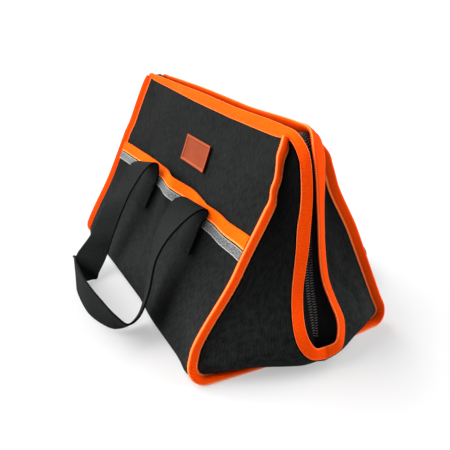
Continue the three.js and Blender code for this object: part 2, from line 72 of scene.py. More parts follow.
SKY_STRENGTH = 0.15
BACKDROP_STRENGTH = 1.05
sky = bpy.data.worlds.new("studio sky")
scene.world = sky
sky.use_nodes = True
backdrop = sky.node_tree.nodes["Background"]
backdrop.inputs["Color"].default_value = (1, 1, 1, 1)
seen = sky.node_tree.nodes.new("ShaderNodeLightPath")
brightness = sky.node_tree.nodes.new("ShaderNodeMapRange")
brightness.inputs["To Min"].default_value = SKY_STRENGTH
brightness.inputs["To Max"].default_value = BACKDROP_STRENGTH
sky.node_tree.links.new(seen.outputs["Is Camera Ray"], brightness.inputs["Value"])
sky.node_tree.links.new(brightness.outputs["Result"], backdrop.inputs["Strength"])


def hang_light(name, towards, strength, spread):
    """A broad even light, shining from the direction given."""
    bpy.ops.object.light_add(type="SUN", location=Vector(towards) * 2)
    lamp = bpy.context.object
    lamp.name = name
    lamp.rotation_euler = Vector(towards).to_track_quat("Z", "Y").to_euler()
    lamp.data.energy = strength
    lamp.data.angle = math.radians(spread)


hang_light("main_light", (-0.85, -0.78, 0.42), 12.6, 104)
hang_light("back_light", (0.25, 0.88, 0.40), 4.8, 70)

# Body: one sheet of black coated cloth runs down the front, under the base and up the back.
# It stands as a tent and sags between its sewn ends.
MM = 0.001
BASE_HALF_DEPTH = 103.5
RIDGE_HALF_DEPTH = 10.5
WALL_TOP = 194.5
WALL_HALF_LENGTH = 163.2
WALL_CLOTH = 2.0
WALL_SAG = 10.2
SAG_LEAN = 1.3
BOTTOM_EDGE_RADIUS = 5.0
END_CORNER_RADIUS = 11.0
END_CORNER_START_X = 150.0
LEFT_END_RISE = 5.0
RISE_START_X = 60.0
END_SEAM_X = 167.0
END_BEND_START_X = 100.0
BASE_BOW = 10.0
FOOT_HEIGHT = (25, 75)
FOOT_BEND_START_X = 125.0
FOOT_BULGE = 4.0
FOOT_BULGE_RISE_X = (10, 80)
FOOT_BULGE_FALL_X = (125, 155)
WALL_LEAN = math.atan((BASE_HALF_DEPTH - RIDGE_HALF_DEPTH) / WALL_TOP)
CORNER_TURN = math.pi / 2 + WALL_LEAN
# Rows of a height, and how far the end seam is bent outwards and along the bag there.
SEAM_BENDS = {
    "front_right": [
        (0, 9.5, 8),
        (8, 9.5, 7),
        (30, 9.5, 0.5),
        (92, -1.2, 0),
        (146, -4.6, 0),
        (162, -0.5, -1.5),
        (178, 4.6, -5),
        (192, 5.5, -10),
    ],
    "front_left": [(0, 6.5, 0), (20, 5.5, 0), (85, 0, 0), (130, 0, 0), (148, -1.5, 0), (175, 0, 0)],
    "back_right": [(0, 0, 4), (30, 0, 0), (105, 0, 0), (152, -4, 0), (165, -3, 0), (190, 2.5, 0)],
    "back_left": [(0, 0, 0), (190, 0, 0)],
}
OUTWARDS = 1
ALONG = 2


def clamp(value, low=0.0, high=1.0):
    return max(low, min(high, value))


def lerp(a, b, share):
    return a + (b - a) * share


def ease(value, start, end):
    """Rises smoothly from 0 at start to 1 at end."""
    share = clamp((value - start) / (end - start))
    return share * share * (3 - 2 * share)


def table_value(table, place, column=1):
    """Value of a table's column at a place between its rows, which start with their places."""
    for low, high in zip(table, table[1:]):
        if place <= high[0]:
            break
    return lerp(low[column], high[column], ease(place, low[0], high[0]))


def settled(p):
    """A point in millimetres, with the ridge's rise towards the left end, in metres."""
    towards_left = clamp((RISE_START_X - p.x) / (RISE_START_X + WALL_HALF_LENGTH))
    rise = LEFT_END_RISE * towards_left * (p.z / WALL_TOP) ** 3
    return Vector((p.x, p.y, p.z + rise)) * MM


def above_foot(z):
    """0 near the floor, where the front wall's foot runs straight to the right end, and 1 above it."""
    return ease(z, *FOOT_HEIGHT)


def seam_bend(is_front, x, z, column):
    """How far the cloth near an end follows its uneven seam, outwards or along the bag."""
    bends = SEAM_BENDS[("front" if is_front else "back") + ("_right" if x > 0 else "_left")]
    start = END_BEND_START_X
    if is_front and x > 0 and column == OUTWARDS:
        start = lerp(FOOT_BEND_START_X, start, above_foot(z))
    return ease(abs(x), start, END_SEAM_X) * table_value(bends, z, column)


def foot_bulge(is_front, x, z):
    """How far the front wall stands out near the floor, between the handle and the right end."""
    rise = ease(x, *FOOT_BULGE_RISE_X)
    fall = 1 - ease(x, *FOOT_BULGE_FALL_X)
    return is_front * FOOT_BULGE * rise * fall * (1 - above_foot(z))


def wall_depth(is_front, x, z):
    """Half depth of the tent at a place on its front or back wall."""
    straight = lerp(BASE_HALF_DEPTH, RIDGE_HALF_DEPTH, z / WALL_TOP)
    between = max(1 - (x / WALL_HALF_LENGTH) ** 2, 0)
    sag = WALL_SAG * between * math.sin(math.pi * clamp(z / WALL_TOP) ** SAG_LEAN)
    return straight - sag + seam_bend(is_front, x, z, OUTWARDS) + foot_bulge(is_front, x, z)


def outline_corner(is_front, x, floor_z):
    """Radius, centre and top of the bottom edge's bend, rounder at the ends of the bag."""
    radius = lerp(BOTTOM_EDGE_RADIUS, END_CORNER_RADIUS, ease(abs(x), END_CORNER_START_X, END_SEAM_X))
    top = floor_z + radius * (1 + math.sin(WALL_LEAN))
    return radius, wall_depth(is_front, x, top) - radius * math.cos(WALL_LEAN), floor_z + radius, top


def outline_length(is_front, x, top, floor_z):
    """Length of half the tent's outline, from its top to the middle of the base."""
    radius, y, z, corner_top = outline_corner(is_front, x, floor_z)
    return (top - corner_top) / math.cos(WALL_LEAN) + radius * CORNER_TURN + y


def outline_point(is_front, x, top, floor_z, length):
    """Place on half of the tent's outline, at a length down from its top, with the outward direction
    there and with 1 on the wall, falling to 0 on the base."""
    radius, corner_y, corner_z, corner_top = outline_corner(is_front, x, floor_z)
    slope_length = (top - corner_top) / math.cos(WALL_LEAN)
    if length <= slope_length:
        z = top - length * math.cos(WALL_LEAN)
        out = Vector((0, math.cos(WALL_LEAN), math.sin(WALL_LEAN)))
        return Vector((x + seam_bend(is_front, x, z, ALONG), wall_depth(is_front, x, z), z)), out, 1.0
    left = length - slope_length
    if left <= radius * CORNER_TURN:
        angle = CORNER_TURN - left / radius
        out = Vector((0, math.sin(angle), -math.cos(angle)))
        p = Vector((x, corner_y, corner_z)) + out * radius
        return p + Vector((seam_bend(is_front, x, p.z, ALONG), 0, 0)), out, angle / CORNER_TURN
    inwards = clamp((left - radius * CORNER_TURN) / corner_y)
    bow = math.copysign(BASE_BOW, x) * ease(abs(x), END_BEND_START_X, END_SEAM_X)
    along = lerp(seam_bend(is_front, x, floor_z, ALONG), bow, inwards * (2 - inwards))
    return Vector((x + along, corner_y * (1 - inwards), floor_z)), Vector((0, 0, -1)), 0.0


# A quarter of the zip edge, in rows of root at the cloth, fold at the free edge, and coil in x and z.
ZIP_EDGE = [
    ((0, 11, 195.6), (0, 6.5, 206), (0, 192.5)),
    ((70, 11, 195.6), (70, 6.5, 206), (70, 192.5)),
    ((142, 12, 196.3), (143, 7.2, 206.4), (140, 194)),
    ((163, 11.2, 197.4), (166.5, 7.2, 204), (163, 200.5)),
    ((174.4, 11, 186.2), (178, 4.2, 191.8), (174.5, 189.5)),
    ((179.2, 11.3, 169.3), (181.8, 2.2, 172.4), (174.5, 170)),
    ((181.8, 12.2, 149.3), (184.6, 2.4, 151), (176, 149)),
    ((182.2, 14.4, 129), (186.4, 3.9, 130), (177, 129)),
    ((183.2, 15.2, 109), (187.6, 5.3, 110), (178.5, 109)),
    ((184.8, 17.4, 90), (188.4, 7.6, 91), (180.5, 90)),
    ((187.5, 20.2, 73), (190.6, 10.6, 75), (183.5, 74)),
    ((194, 23.6, 57), (197, 14.2, 60), (188, 59)),
    ((202.5, 26, 42), (205.2, 16.6, 46.5), (192.5, 46)),
    ((207.5, 24.4, 29), (209.4, 15, 35), (195.5, 35)),
    ((210.5, 17, 17.5), (210, 10, 25.5), (197.5, 25)),
    ((209, 0, 10.5), (207, 0, 21.5), (199, 17)),
]
ZIP_LAST = len(ZIP_EDGE) - 1
SLIT_TOP_ROW = 4
# For each end, at some rows: how much further out the back's root and fold stand than the front's, and how
# much higher. At the right end the foot of the slit is also pulled towards the back.
BACK_SHIFTS = {
    1: {
        2: (0.6, -0.6, 1),
        3: (2.3, -3.4, 2),
        4: (1.6, -4.6, 1),
        5: (0, -0.8, 0),
        6: (-2, 0, 0),
        7: (-2.8, 0, 0),
        8: (-2, 0, 0),
        9: (-2, 0, 0),
        10: (-2, 0, 0),
        11: (-1.5, 0, 0),
        12: (-0.8, 0, 0),
        13: (-2, 0, 0),
        14: (-1, 0, 0),
    },
    -1: {2: (0, 0, -2.2), 3: (0, 0, -2.2), 4: (0, 0, -1)},
}
FOOT_PULLS = {1: {13: 1, 14: 3, 15: 4}, -1: {}}
LEFT_LIP_NARROWING = 0.19
LIP_NARROWS_ROWS = (0, 2)
LIP_WIDENS_ROWS = (4, 6)
NEARBY = 0.05


def through(points, place):
    """Smooth curve through a run of points, at a place counted in points."""
    i = min(int(place), len(points) - 2)
    t = place - i
    b = points[i]
    c = points[i + 1]
    a = points[i - 1] if i > 0 else b * 2 - c
    d = points[i + 2] if i + 2 < len(points) else c * 2 - b
    before = math.sqrt((b - a).length)
    here = math.sqrt((c - b).length)
    after = math.sqrt((d - c).length)
    leave = ((b - a) / before - (c - a) / (before + here) + (c - b) / here) * here
    reach = ((c - b) / here - (d - b) / (here + after) + (d - c) / after) * here
    return (
        b * (2 * t**3 - 3 * t**2 + 1)
        + leave * (t**3 - 2 * t**2 + t)
        + c * (3 * t**2 - 2 * t**3)
        + reach * (t**3 - t**2)
    )


ZIP_ROOT = {}
ZIP_FOLD = {}
for side_x, side_y in ((1, 1), (1, -1), (-1, 1), (-1, -1)):
    roots = []
    folds = []
    for i, (root, fold, chain) in enumerate(ZIP_EDGE):
        root_out, fold_out, up = BACK_SHIFTS[side_x].get(i, (0, 0, 0)) if side_y < 0 else (0, 0, 0)
        pull = FOOT_PULLS[side_x].get(i, 0) * side_y
        for points, (x, y, z), out in ((roots, root, root_out), (folds, fold, fold_out)):
            points.append(Vector((x, pull - y - out, z + up)))
    ZIP_ROOT[side_x, side_y] = roots
    ZIP_FOLD[side_x, side_y] = folds
ZIP_CHAIN = [Vector((x, 0, z)) for root, fold, (x, z) in ZIP_EDGE]


def zip_section(place, side_x, side_y):
    """Root, fold, direction inwards and coil of the zip edge, at a place counted in table rows."""
    roots = ZIP_ROOT[side_x, side_y]
    root = through(roots, place)
    fold = through(ZIP_FOLD[side_x, side_y], place)
    if side_x < 0:
        narrow = LEFT_LIP_NARROWING * ease(place, *LIP_NARROWS_ROWS) * (1 - ease(place, *LIP_WIDENS_ROWS))
        root, fold = root.lerp(fold, narrow), fold.lerp(root, narrow)
    along = through(roots, min(place + NEARBY, ZIP_LAST)) - through(roots, max(place - NEARBY, 0))
    if place == 0:
        along = Vector((1, 0, 0))
    if place == ZIP_LAST:
        along = Vector((0, 1, 0))
    inward = (fold - root).cross(along).normalized()
    side = Vector((side_x, side_y, 1))
    return [p * side for p in (root, fold, inward, through(ZIP_CHAIN, place))]


def measure_threads(piece, spots, across, along):
    """Gives the weave its real scale: texture places in metres across and along the piece."""
    for loop, uv in zip(piece.data.loops, piece.data.uv_layers.active.data):
        u, v = spots[loop.vertex_index]
        uv.uv = (u * across, v * along)


def run_length(points):
    return sum((b - a).length for a, b in zip(points, points[1:]))


def lay_cloth(name, columns, rows, place, thickness, is_turned=False):
    """A flat woven blank, laid point by point and given its thickness in millimetres. A turned blank has its
    warp across instead of along."""
    bpy.ops.object.select_all(action="DESELECT")
    bpy.ops.mesh.primitive_grid_add(x_subdivisions=columns, y_subdivisions=rows, size=2)
    sheet = bpy.context.object
    sheet.name = name
    spots = [((v.co.x + 1) / 2, (v.co.y + 1) / 2) for v in sheet.data.vertices]
    for vertex, (u, v) in zip(sheet.data.vertices, spots):
        vertex.co = settled(place(u, v))
    across = run_length([settled(place(i / columns, 0.5)) for i in range(columns + 1)])
    along = run_length([settled(place(0.5, i / rows)) for i in range(rows + 1)])
    if is_turned:
        measure_threads(sheet, [(v, u) for u, v in spots], along, across)
    else:
        measure_threads(sheet, spots, across, along)
    bpy.ops.object.modifier_add(type="SOLIDIFY")
    wall = sheet.modifiers["Solidify"]
    wall.thickness = thickness * MM
    wall.offset = 0
    bpy.ops.object.modifier_apply(modifier="Solidify")
    bpy.ops.object.shade_smooth_by_angle(angle=math.radians(50))
    return sheet


def node(tree, kind, inputs=None, **settings):
    """A shader node with its settings, whose inputs are numbers, colours or other nodes' outputs."""
    made = tree.nodes.new(kind)
    for key, value in settings.items():
        setattr(made, key, value)
    for key, value in (inputs or {}).items():
        if isinstance(value, bpy.types.NodeSocket):
            tree.links.new(value, made.inputs[key])
        else:
            made.inputs[key].default_value = value
    return made


def reckon(tree, operation, *values):
    """Result of one sum on numbers or sockets."""
    inputs = dict(enumerate(values))
    return node(tree, "ShaderNodeMath", inputs, operation=operation).outputs[0]


def parts_of(tree, place):
    """Separate numbers of a place."""
    return node(tree, "ShaderNodeSeparateXYZ", {0: place}).outputs


def ramp(tree, value, start, end):
    """Share from 0 to 1, as a value goes from start to end."""
    return node(tree, "ShaderNodeMapRange", {0: value, 1: start, 2: end}).outputs[0]


def mottle(tree, place, scale, detail):
    """Uneven spots, from 0 to 1."""
    return node(tree, "ShaderNodeTexNoise", {"Vector": place, "Scale": scale, "Detail": detail}).outputs[0]


def new_group(name, inputs, outputs):
    """An empty shader node group with named inputs and outputs."""
    group = bpy.data.node_groups.new(name, "ShaderNodeTree")
    for socket, kind in inputs.items():
        group.interface.new_socket(name=socket, in_out="INPUT", socket_type=kind)
    for socket, kind in outputs.items():
        group.interface.new_socket(name=socket, in_out="OUTPUT", socket_type=kind)
    return group, group.nodes.new("NodeGroupInput").outputs, group.nodes.new("NodeGroupOutput").inputs


# Over and under threads of a plain weave: Height is 1 on top of a thread and 0 between threads.
weave, weave_in, weave_out = new_group(
    "plain weave",
    {"Place": "NodeSocketVector", "Warp": "NodeSocketFloat", "Weft": "NodeSocketFloat"},
    {"Height": "NodeSocketFloat"},
)
threads = parts_of(weave, weave_in["Place"])
warp_wave = reckon(weave, "SINE", reckon(weave, "DIVIDE", threads["X"], weave_in["Warp"]))
weft_wave = reckon(weave, "SINE", reckon(weave, "DIVIDE", threads["Y"], weave_in["Weft"]))
over = reckon(weave, "GREATER_THAN", reckon(weave, "MULTIPLY", warp_wave, weft_wave), 0.0)
under = reckon(weave, "SUBTRACT", 1.0, over)
warp_top = reckon(weave, "MULTIPLY", reckon(weave, "ABSOLUTE", warp_wave), over)
weft_top = reckon(weave, "MULTIPLY", reckon(weave, "ABSOLUTE", weft_wave), under)
weave.links.new(reckon(weave, "ADD", warp_top, weft_top), weave_out["Height"])

# Uneven yarn and handling marks: long slubs along the warp and broad faint clouds, each from 0 to 1.
slubs, slubs_in, slubs_out = new_group(
    "slubs and clouds",
    {"Place": "NodeSocketVector", "Slub": "NodeSocketFloat", "Stretch": "NodeSocketVector"},
    {"Slubs": "NodeSocketFloat", "Clouds": "NodeSocketFloat"},
)
stretch = {0: slubs_in["Place"], 1: slubs_in["Stretch"]}
drawn_out = node(slubs, "ShaderNodeVectorMath", stretch, operation="MULTIPLY").outputs[0]
slub_noise = {"Vector": drawn_out, "Scale": slubs_in["Slub"], "Detail": 3.0, "Roughness": 0.6}
slubs.links.new(node(slubs, "ShaderNodeTexNoise", slub_noise).outputs[0], slubs_out["Slubs"])
slubs.links.new(mottle(slubs, slubs_in["Place"], 22.0, 2.0), slubs_out["Clouds"])


def start_material(name, roughness, specular):
    """A new material with its node tree and its shader."""
    material = bpy.data.materials.new(name)
    material.use_nodes = True
    shader = material.node_tree.nodes["Principled BSDF"]
    shader.inputs["Roughness"].default_value = roughness
    shader.inputs["Specular IOR Level"].default_value = specular
    return material, material.node_tree, shader


def cloth_place(tree):
    """Place on a piece's own cloth, in metres across and along it."""
    return node(tree, "ShaderNodeUVMap").outputs["UV"]


def bag_place(tree):
    """Place in the bag's frame."""
    return node(tree, "ShaderNodeTexCoord").outputs["Object"]


def plain_weave(tree, place, warp, weft):
    """Height of a weave whose threads are as wide as given in metres."""
    inputs = {"Place": place, "Warp": warp / math.pi, "Weft": weft / math.pi}
    return node(tree, "ShaderNodeGroup", inputs, node_tree=weave).outputs["Height"]


def uneven_yarn(tree, place, slub, stretch):
    """Slubs and clouds of a cloth's yarn."""
    inputs = {"Place": place, "Slub": slub, "Stretch": stretch}
    return node(tree, "ShaderNodeGroup", inputs, node_tree=slubs).outputs


def colour_between(tree, dark, light, share):
    """Colour from dark to light by a share from 0 to 1. Either end may be another node's colour."""
    dark, light = (end if isinstance(end, bpy.types.NodeSocket) else (*end, 1) for end in (dark, light))
    return node(tree, "ShaderNodeMix", {0: share, 6: dark, 7: light}, data_type="RGBA").outputs[2]


def raise_bump(tree, shader, height, distance, strength):
    bump = node(tree, "ShaderNodeBump", {"Height": height, "Distance": distance, "Strength": strength})
    tree.links.new(bump.outputs["Normal"], shader.inputs["Normal"])


# Painted shade and light by height: heights in metres and tones, darker high up under the lips and the
# pocket mouth, paler near the floor.
SHADE_TOP_Z = 0.165
LIGHT_FOOT_Z = 0.02
SHADE_TOP_TONE = 0.35
LIGHT_FOOT_TONE = 1.4


def woven_cloth(name, dark, light, thread, slub, is_shaded_by_height=False):
    """Cloth of a plain weave with slubs, its threads as wide as given in metres. Cloth shaded by height is
    painted deep black at the top of the bag, as painted shade, and paler towards the floor, as painted
    light."""
    material, tree, shader = start_material(name, 0.8, 0.02)
    place = cloth_place(tree)
    height = plain_weave(tree, place, thread, thread)
    yarn = uneven_yarn(tree, place, slub, (1, 0.4, 1))
    uneven = reckon(tree, "MULTIPLY_ADD", height, 0.25, yarn["Slubs"])
    cloudy = reckon(tree, "MULTIPLY_ADD", yarn["Clouds"], 0.3, uneven)
    colour = colour_between(tree, dark, light, ramp(tree, cloudy, 0.58, 1.02))
    if is_shaded_by_height:
        # Painted shade darkens the cloth towards the top of the bag, and painted light brightens it towards
        # the floor.
        level = parts_of(tree, bag_place(tree))["Z"]
        ends = {0: level, 1: SHADE_TOP_Z, 2: LIGHT_FOOT_Z, 3: SHADE_TOP_TONE, 4: LIGHT_FOOT_TONE}
        painted_shade = node(tree, "ShaderNodeMapRange", ends, interpolation_type="SMOOTHSTEP").outputs[0]
        inputs = {0: 1.0, 6: colour, 7: painted_shade}
        colour = node(tree, "ShaderNodeMix", inputs, data_type="RGBA", blend_type="MULTIPLY").outputs[2]
    tree.links.new(colour, shader.inputs["Base Color"])
    relief = reckon(tree, "MULTIPLY_ADD", yarn["Slubs"], 0.6, height)
    raise_bump(tree, shader, relief, thread * 0.35, 0.35)
    return material


CLOTH_DARK = (0.0034, 0.0038, 0.0036)
CLOTH_LIGHT = (0.0121, 0.0137, 0.0129)
CLOTH_THREAD = 0.0014
CLOTH_SLUB = 380
BROAD_CREASE = 1.3
UPRIGHT_CREASE = 0.9
bag_cloth = woven_cloth("black coated cloth", CLOTH_DARK, CLOTH_LIGHT, CLOTH_THREAD, CLOTH_SLUB)
TOP_TUCK = 3.0
TOP_TUCK_REACH = 18.0


def wall_crease(is_front, x, z):
    """Soft creases of the slack cloth, in millimetres outwards."""
    side = 1.0 if is_front else 5.0
    broad = noise.noise(Vector((x * 0.016, z * 0.010, side)))
    upright = noise.noise(Vector((x * 0.055, z * 0.014, side + 9)))
    held = math.sin(math.pi * clamp(z / WALL_TOP)) * ease(WALL_HALF_LENGTH - abs(x), 0, 30)
    return (BROAD_CREASE * broad + UPRIGHT_CREASE * upright) * held


def on_wall(is_front, x, up, lift):
    """Point on the front or back wall, up the slope from the floor, lifted off the middle of its cloth."""
    length = WALL_TOP / math.cos(WALL_LEAN) - up
    p, out = outline_point(is_front, x, WALL_TOP, WALL_CLOTH / 2, length)[:2]
    p += out * (lift + wall_crease(is_front, x, p.z))
    return Vector((p.x, -p.y if is_front else p.y, p.z))


END_TAPE_THICKNESS = 5.0
END_SEAM_TOP = {"front_right": 188, "front_left": 184, "back": 184}
SEAM_TUCK_ROW = {"front": 2.64, "back": 3.3}
SEAM_TUCK_DEPTH = 0.15
SEAM_FOLLOW_X = 125.0
SEAM_FOLLOW_HEIGHT = 34.0


def seam_top(is_front, side_x):
    """Height at which the seam of one half of an end starts."""
    return END_SEAM_TOP[("front_right" if side_x > 0 else "front_left") if is_front else "back"]


@cache
def seam_shift(is_front, side_x):
    """How far the top of an end seam is drawn in under the zip edge."""
    x = side_x * END_SEAM_X
    p = outline_point(is_front, x, seam_top(is_front, side_x), END_TAPE_THICKNESS / 2, 0)[0]
    tuck_row = SEAM_TUCK_ROW["front" if is_front else "back"]
    root, fold = zip_section(tuck_row, side_x, 1 if is_front else -1)[:2]
    return root.lerp(fold, SEAM_TUCK_DEPTH) - p * Vector((1, -1 if is_front else 1, 1))


@cache
def wall_tuck(is_front, x):
    """Shift that brings the top edge of a wall inside the zip edge above it."""
    low = 0.0
    high = float(SLIT_TOP_ROW)
    for halving in range(24):
        row = (low + high) / 2
        low, high = (row, high) if through(ZIP_ROOT[1, 1], row).x < abs(x) else (low, row)
    root, fold = zip_section(low, 1 if x > 0 else -1, 1 if is_front else -1)[:2]
    wanted = root + (fold - root).normalized() * TOP_TUCK
    return wanted - on_wall(is_front, x, WALL_TOP / math.cos(WALL_LEAN), 0)


def on_wrap(u, v):
    x = WALL_HALF_LENGTH * (2 * u - 1)
    is_front = v <= 0.5
    length = outline_length(is_front, x, WALL_TOP, WALL_CLOTH / 2) * (1 - abs(2 * v - 1))
    p = on_wall(is_front, x, WALL_TOP / math.cos(WALL_LEAN) - length, 0)
    side_x = 1 if x > 0 else -1
    below_top = ease(seam_top(is_front, side_x) - p.z, 0, SEAM_FOLLOW_HEIGHT)
    drawn = seam_shift(is_front, side_x) * ease(abs(x), SEAM_FOLLOW_X, END_SEAM_X) * (1 - below_top)
    return p + drawn.lerp(wall_tuck(is_front, x), 1 - ease(length, 0, TOP_TUCK_REACH))


body_wrap = lay_cloth("body_wrap_cloth", 72, 150, on_wrap, WALL_CLOTH)
body_wrap.data.materials.append(bag_cloth)
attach(body_wrap, "root")
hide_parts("body_wrap")

# Zip edge: the cloth edges round the zip are bound in folded orange tape, over the ridge and down a slit at
# each end, and sewn through close to the cloth.
TAPE_GIRTH = 0.026
TAPE_RIB = 0.0017
STITCH_SHARE = 0.18
PINCH_DEPTH = 0.22
PINCH_WIDTH = 0.07
FOLD_ROUNDNESS = 0.8
# Where the zip tape is painted paler along the front of the ridge, as painted light: heights and depths in
# metres.
RIDGE_LIGHT_FOOT = 0.184
RIDGE_LIGHT_TOP = 0.197
RIDGE_LIGHT_BACK = -0.003
RIDGE_LIGHT_FRONT = -0.006


def tape_profile(root, fold, normal, thickness, seam=STITCH_SHARE):
    """Outline of a folded tape: down one face, round the fold and up the other, pinched at its seam."""
    width = (fold - root).length
    across = (fold - root).normalized()
    half = thickness / 2
    points = []
    for face in (1, -1):
        shares = (0.0, seam - 0.08, seam, seam + 0.08, 0.45, 0.65, 0.8)
        for share in shares if face > 0 else reversed(shares):
            pinch = PINCH_DEPTH * math.exp(-(((share - seam) / PINCH_WIDTH) ** 2))
            belly = 0.88 + 0.12 * math.sin(math.pi * share)
            points.append(root + across * width * share + normal * face * half * (belly - pinch))
        if face > 0:
            for turn in (70, 40, 10, -10, -40, -70):
                angle = math.radians(turn)
                reach = width - half * FOLD_ROUNDNESS + half * FOLD_ROUNDNESS * math.cos(angle)
                points.append(root + across * reach + normal * half * math.sin(angle))
    return points


def lay_tape(name, rows, section, is_loop):
    """A folded tape, sewn on along a run of sections."""
    around = len(tape_profile(*section(0.0)))
    bpy.ops.object.select_all(action="DESELECT")
    bpy.ops.mesh.primitive_grid_add(x_subdivisions=rows, y_subdivisions=around, size=2)
    tape = bpy.context.object
    tape.name = name
    spots = [((v.co.x + 1) / 2, (v.co.y + 1) / 2) for v in tape.data.vertices]
    outlines = {}
    for vertex, (u, v) in zip(tape.data.vertices, spots):
        station = round(u * rows)
        if station not in outlines:
            outlines[station] = [settled(p) for p in tape_profile(*section(station / rows))]
        vertex.co = outlines[station][round(v * around) % around]
    travel = [0.0]
    for i in range(rows):
        travel.append(travel[-1] + (outlines[i + 1][0] - outlines[i][0]).length)
    measure_threads(tape, [(travel[round(u * rows)], v) for u, v in spots], 1, TAPE_GIRTH)
    bpy.ops.object.mode_set(mode="EDIT")
    bpy.ops.mesh.select_all(action="SELECT")
    bpy.ops.mesh.remove_doubles(threshold=0.00001)
    if not is_loop:
        bpy.ops.mesh.fill_holes(sides=0)
        bpy.ops.mesh.select_all(action="SELECT")
    bpy.ops.mesh.normals_make_consistent(inside=False)
    bpy.ops.object.mode_set(mode="OBJECT")
    bpy.ops.object.shade_smooth_by_angle(angle=math.radians(55))
    return tape


def ripple(tree, along, pitch):
    """Even waves from -1 to 1, a pitch apart."""
    return reckon(tree, "SINE", reckon(tree, "DIVIDE", along, pitch / (2 * math.pi)))


def ribbed_tape(name, dark, light, edge, lit_ridge_colours=None):
    """Tape with fine slanting ribs, paler along its selvedges, partly from their own pale yarn and partly as
    painted highlight, and along its fold as painted highlight. It may be given paler dark and light colours
    along the front of the ridge, as painted light where it faces the main light."""
    material, tree, shader = start_material(name, 0.75, 0.008)
    place = cloth_place(tree)
    parts = parts_of(tree, place)
    slant = reckon(tree, "MULTIPLY_ADD", parts["Y"], 0.35, parts["X"])
    ribs = reckon(tree, "MULTIPLY_ADD", ripple(tree, slant, TAPE_RIB), 0.5, 0.5)
    yarn = uneven_yarn(tree, place, 900, (1, 0.5, 1))
    tone = reckon(tree, "MULTIPLY_ADD", ribs, 0.2, reckon(tree, "MULTIPLY", yarn["Slubs"], 0.6))
    tone = reckon(tree, "MULTIPLY_ADD", yarn["Clouds"], 0.35, tone)
    share = ramp(tree, tone, 0.38, 0.92)
    body = colour_between(tree, dark, light, share)
    # Painted light: paler colours on the front face of the ridge, where it faces the main light.
    if lit_ridge_colours:
        level = parts_of(tree, bag_place(tree))
        high = ramp(tree, level["Z"], RIDGE_LIGHT_FOOT, RIDGE_LIGHT_TOP)
        ahead = ramp(tree, level["Y"], RIDGE_LIGHT_BACK, RIDGE_LIGHT_FRONT)
        painted_light_mask = reckon(tree, "MULTIPLY", high, ahead)
        body = colour_between(tree, body, colour_between(tree, *lit_ridge_colours, share), painted_light_mask)
    # Paler selvedges and fold: painted highlight where the tape's edges catch the light, on the selvedges'
    # own paler yarn.
    girth_share = reckon(tree, "DIVIDE", parts["Y"], TAPE_GIRTH)
    from_fold = reckon(tree, "ABSOLUTE", reckon(tree, "SUBTRACT", girth_share, 0.5))
    selvedge = ramp(tree, from_fold, 0.42, 0.455)
    fold = ramp(tree, from_fold, 0.07, 0.025)
    wear_and_highlight = reckon(tree, "MULTIPLY", reckon(tree, "MAXIMUM", selvedge, fold), 0.8)
    tree.links.new(colour_between(tree, body, edge, wear_and_highlight), shader.inputs["Base Color"])
    relief = reckon(tree, "MULTIPLY_ADD", yarn["Slubs"], 0.5, ribs)
    raise_bump(tree, shader, relief, TAPE_RIB * 0.2, 0.3)
    return material


ZIP_EDGE_THICKNESS = 3.4
ZIP_ROWS = 560


def zip_place(u):
    """Row of the table and sides, for a share of the whole loop round the zip."""
    quarter = min(int(u * 4), 3)
    share = u * 4 - quarter
    side_x, side_y, is_forward = ((1, 1, True), (1, -1, False), (-1, -1, True), (-1, 1, False))[quarter]
    return (share if is_forward else 1 - share) * ZIP_LAST, side_x, side_y


def zip_edge_section(u):
    return *zip_section(*zip_place(u))[:3], ZIP_EDGE_THICKNESS


zip_binding = lay_tape("zip_binding_tape", ZIP_ROWS, zip_edge_section, True)
# Dark, light and edge colours; the edge colour is painted highlight on the tapes' folds and partly on their
# selvedges.
ORANGE = ((0.68, 0.041, 0.0010), (0.97, 0.084, 0.0026), (0.98, 0.25, 0.07))
# Paler dark and light colours, painted on the front of the ridge as painted light.
RIDGE_LIT_ORANGE = ((0.65, 0.053, 0.0009), (0.93, 0.107, 0.0026))
zip_binding.data.materials.append(ribbed_tape("orange zip edge tape", *ORANGE, lit_ridge_colours=RIDGE_LIT_ORANGE))
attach(zip_binding, "root")
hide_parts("zip_binding")

# Stitching: each tape is sewn through along its seam, in short raised stitches of orange thread.
# One stitch is modelled once and copied along every sewn line.
STITCH_STEP = 3.4
STITCH_SIZE = (2.3, 0.75, 0.55)
STITCH_DEPTH = 0.37


def stitch_frames(points, normals, step):
    """Places evenly spaced along a run of points, each turned along the run with its back to the cloth."""
    frames = []
    travelled = 0.0
    due = step / 2
    for a, b, normal in zip(points, points[1:], normals):
        piece = (b - a).length
        while due <= travelled + piece:
            along = (b - a).normalized()
            side = normal.cross(along).normalized()
            up = along.cross(side)
            turn = Matrix((along, side, up)).transposed().to_4x4()
            spot = settled(a.lerp(b, (due - travelled) / piece))
            frames.append(Matrix.Translation(spot) @ turn)
            due += step
        travelled += piece
    return frames


def copy_along(name, pattern, frames):
    """Copies of a small piece, one at each place, joined in one mesh."""
    bpy.ops.object.select_all(action="DESELECT")
    for turn in frames:
        copy = pattern.copy()
        copy.data = pattern.data.copy()
        copy.data.transform(turn)
        scene.collection.objects.link(copy)
        copy.select_set(True)
        bpy.context.view_layer.objects.active = copy
    bpy.ops.object.join()
    joined = bpy.context.object
    joined.name = name
    bpy.data.objects.remove(pattern)
    return joined


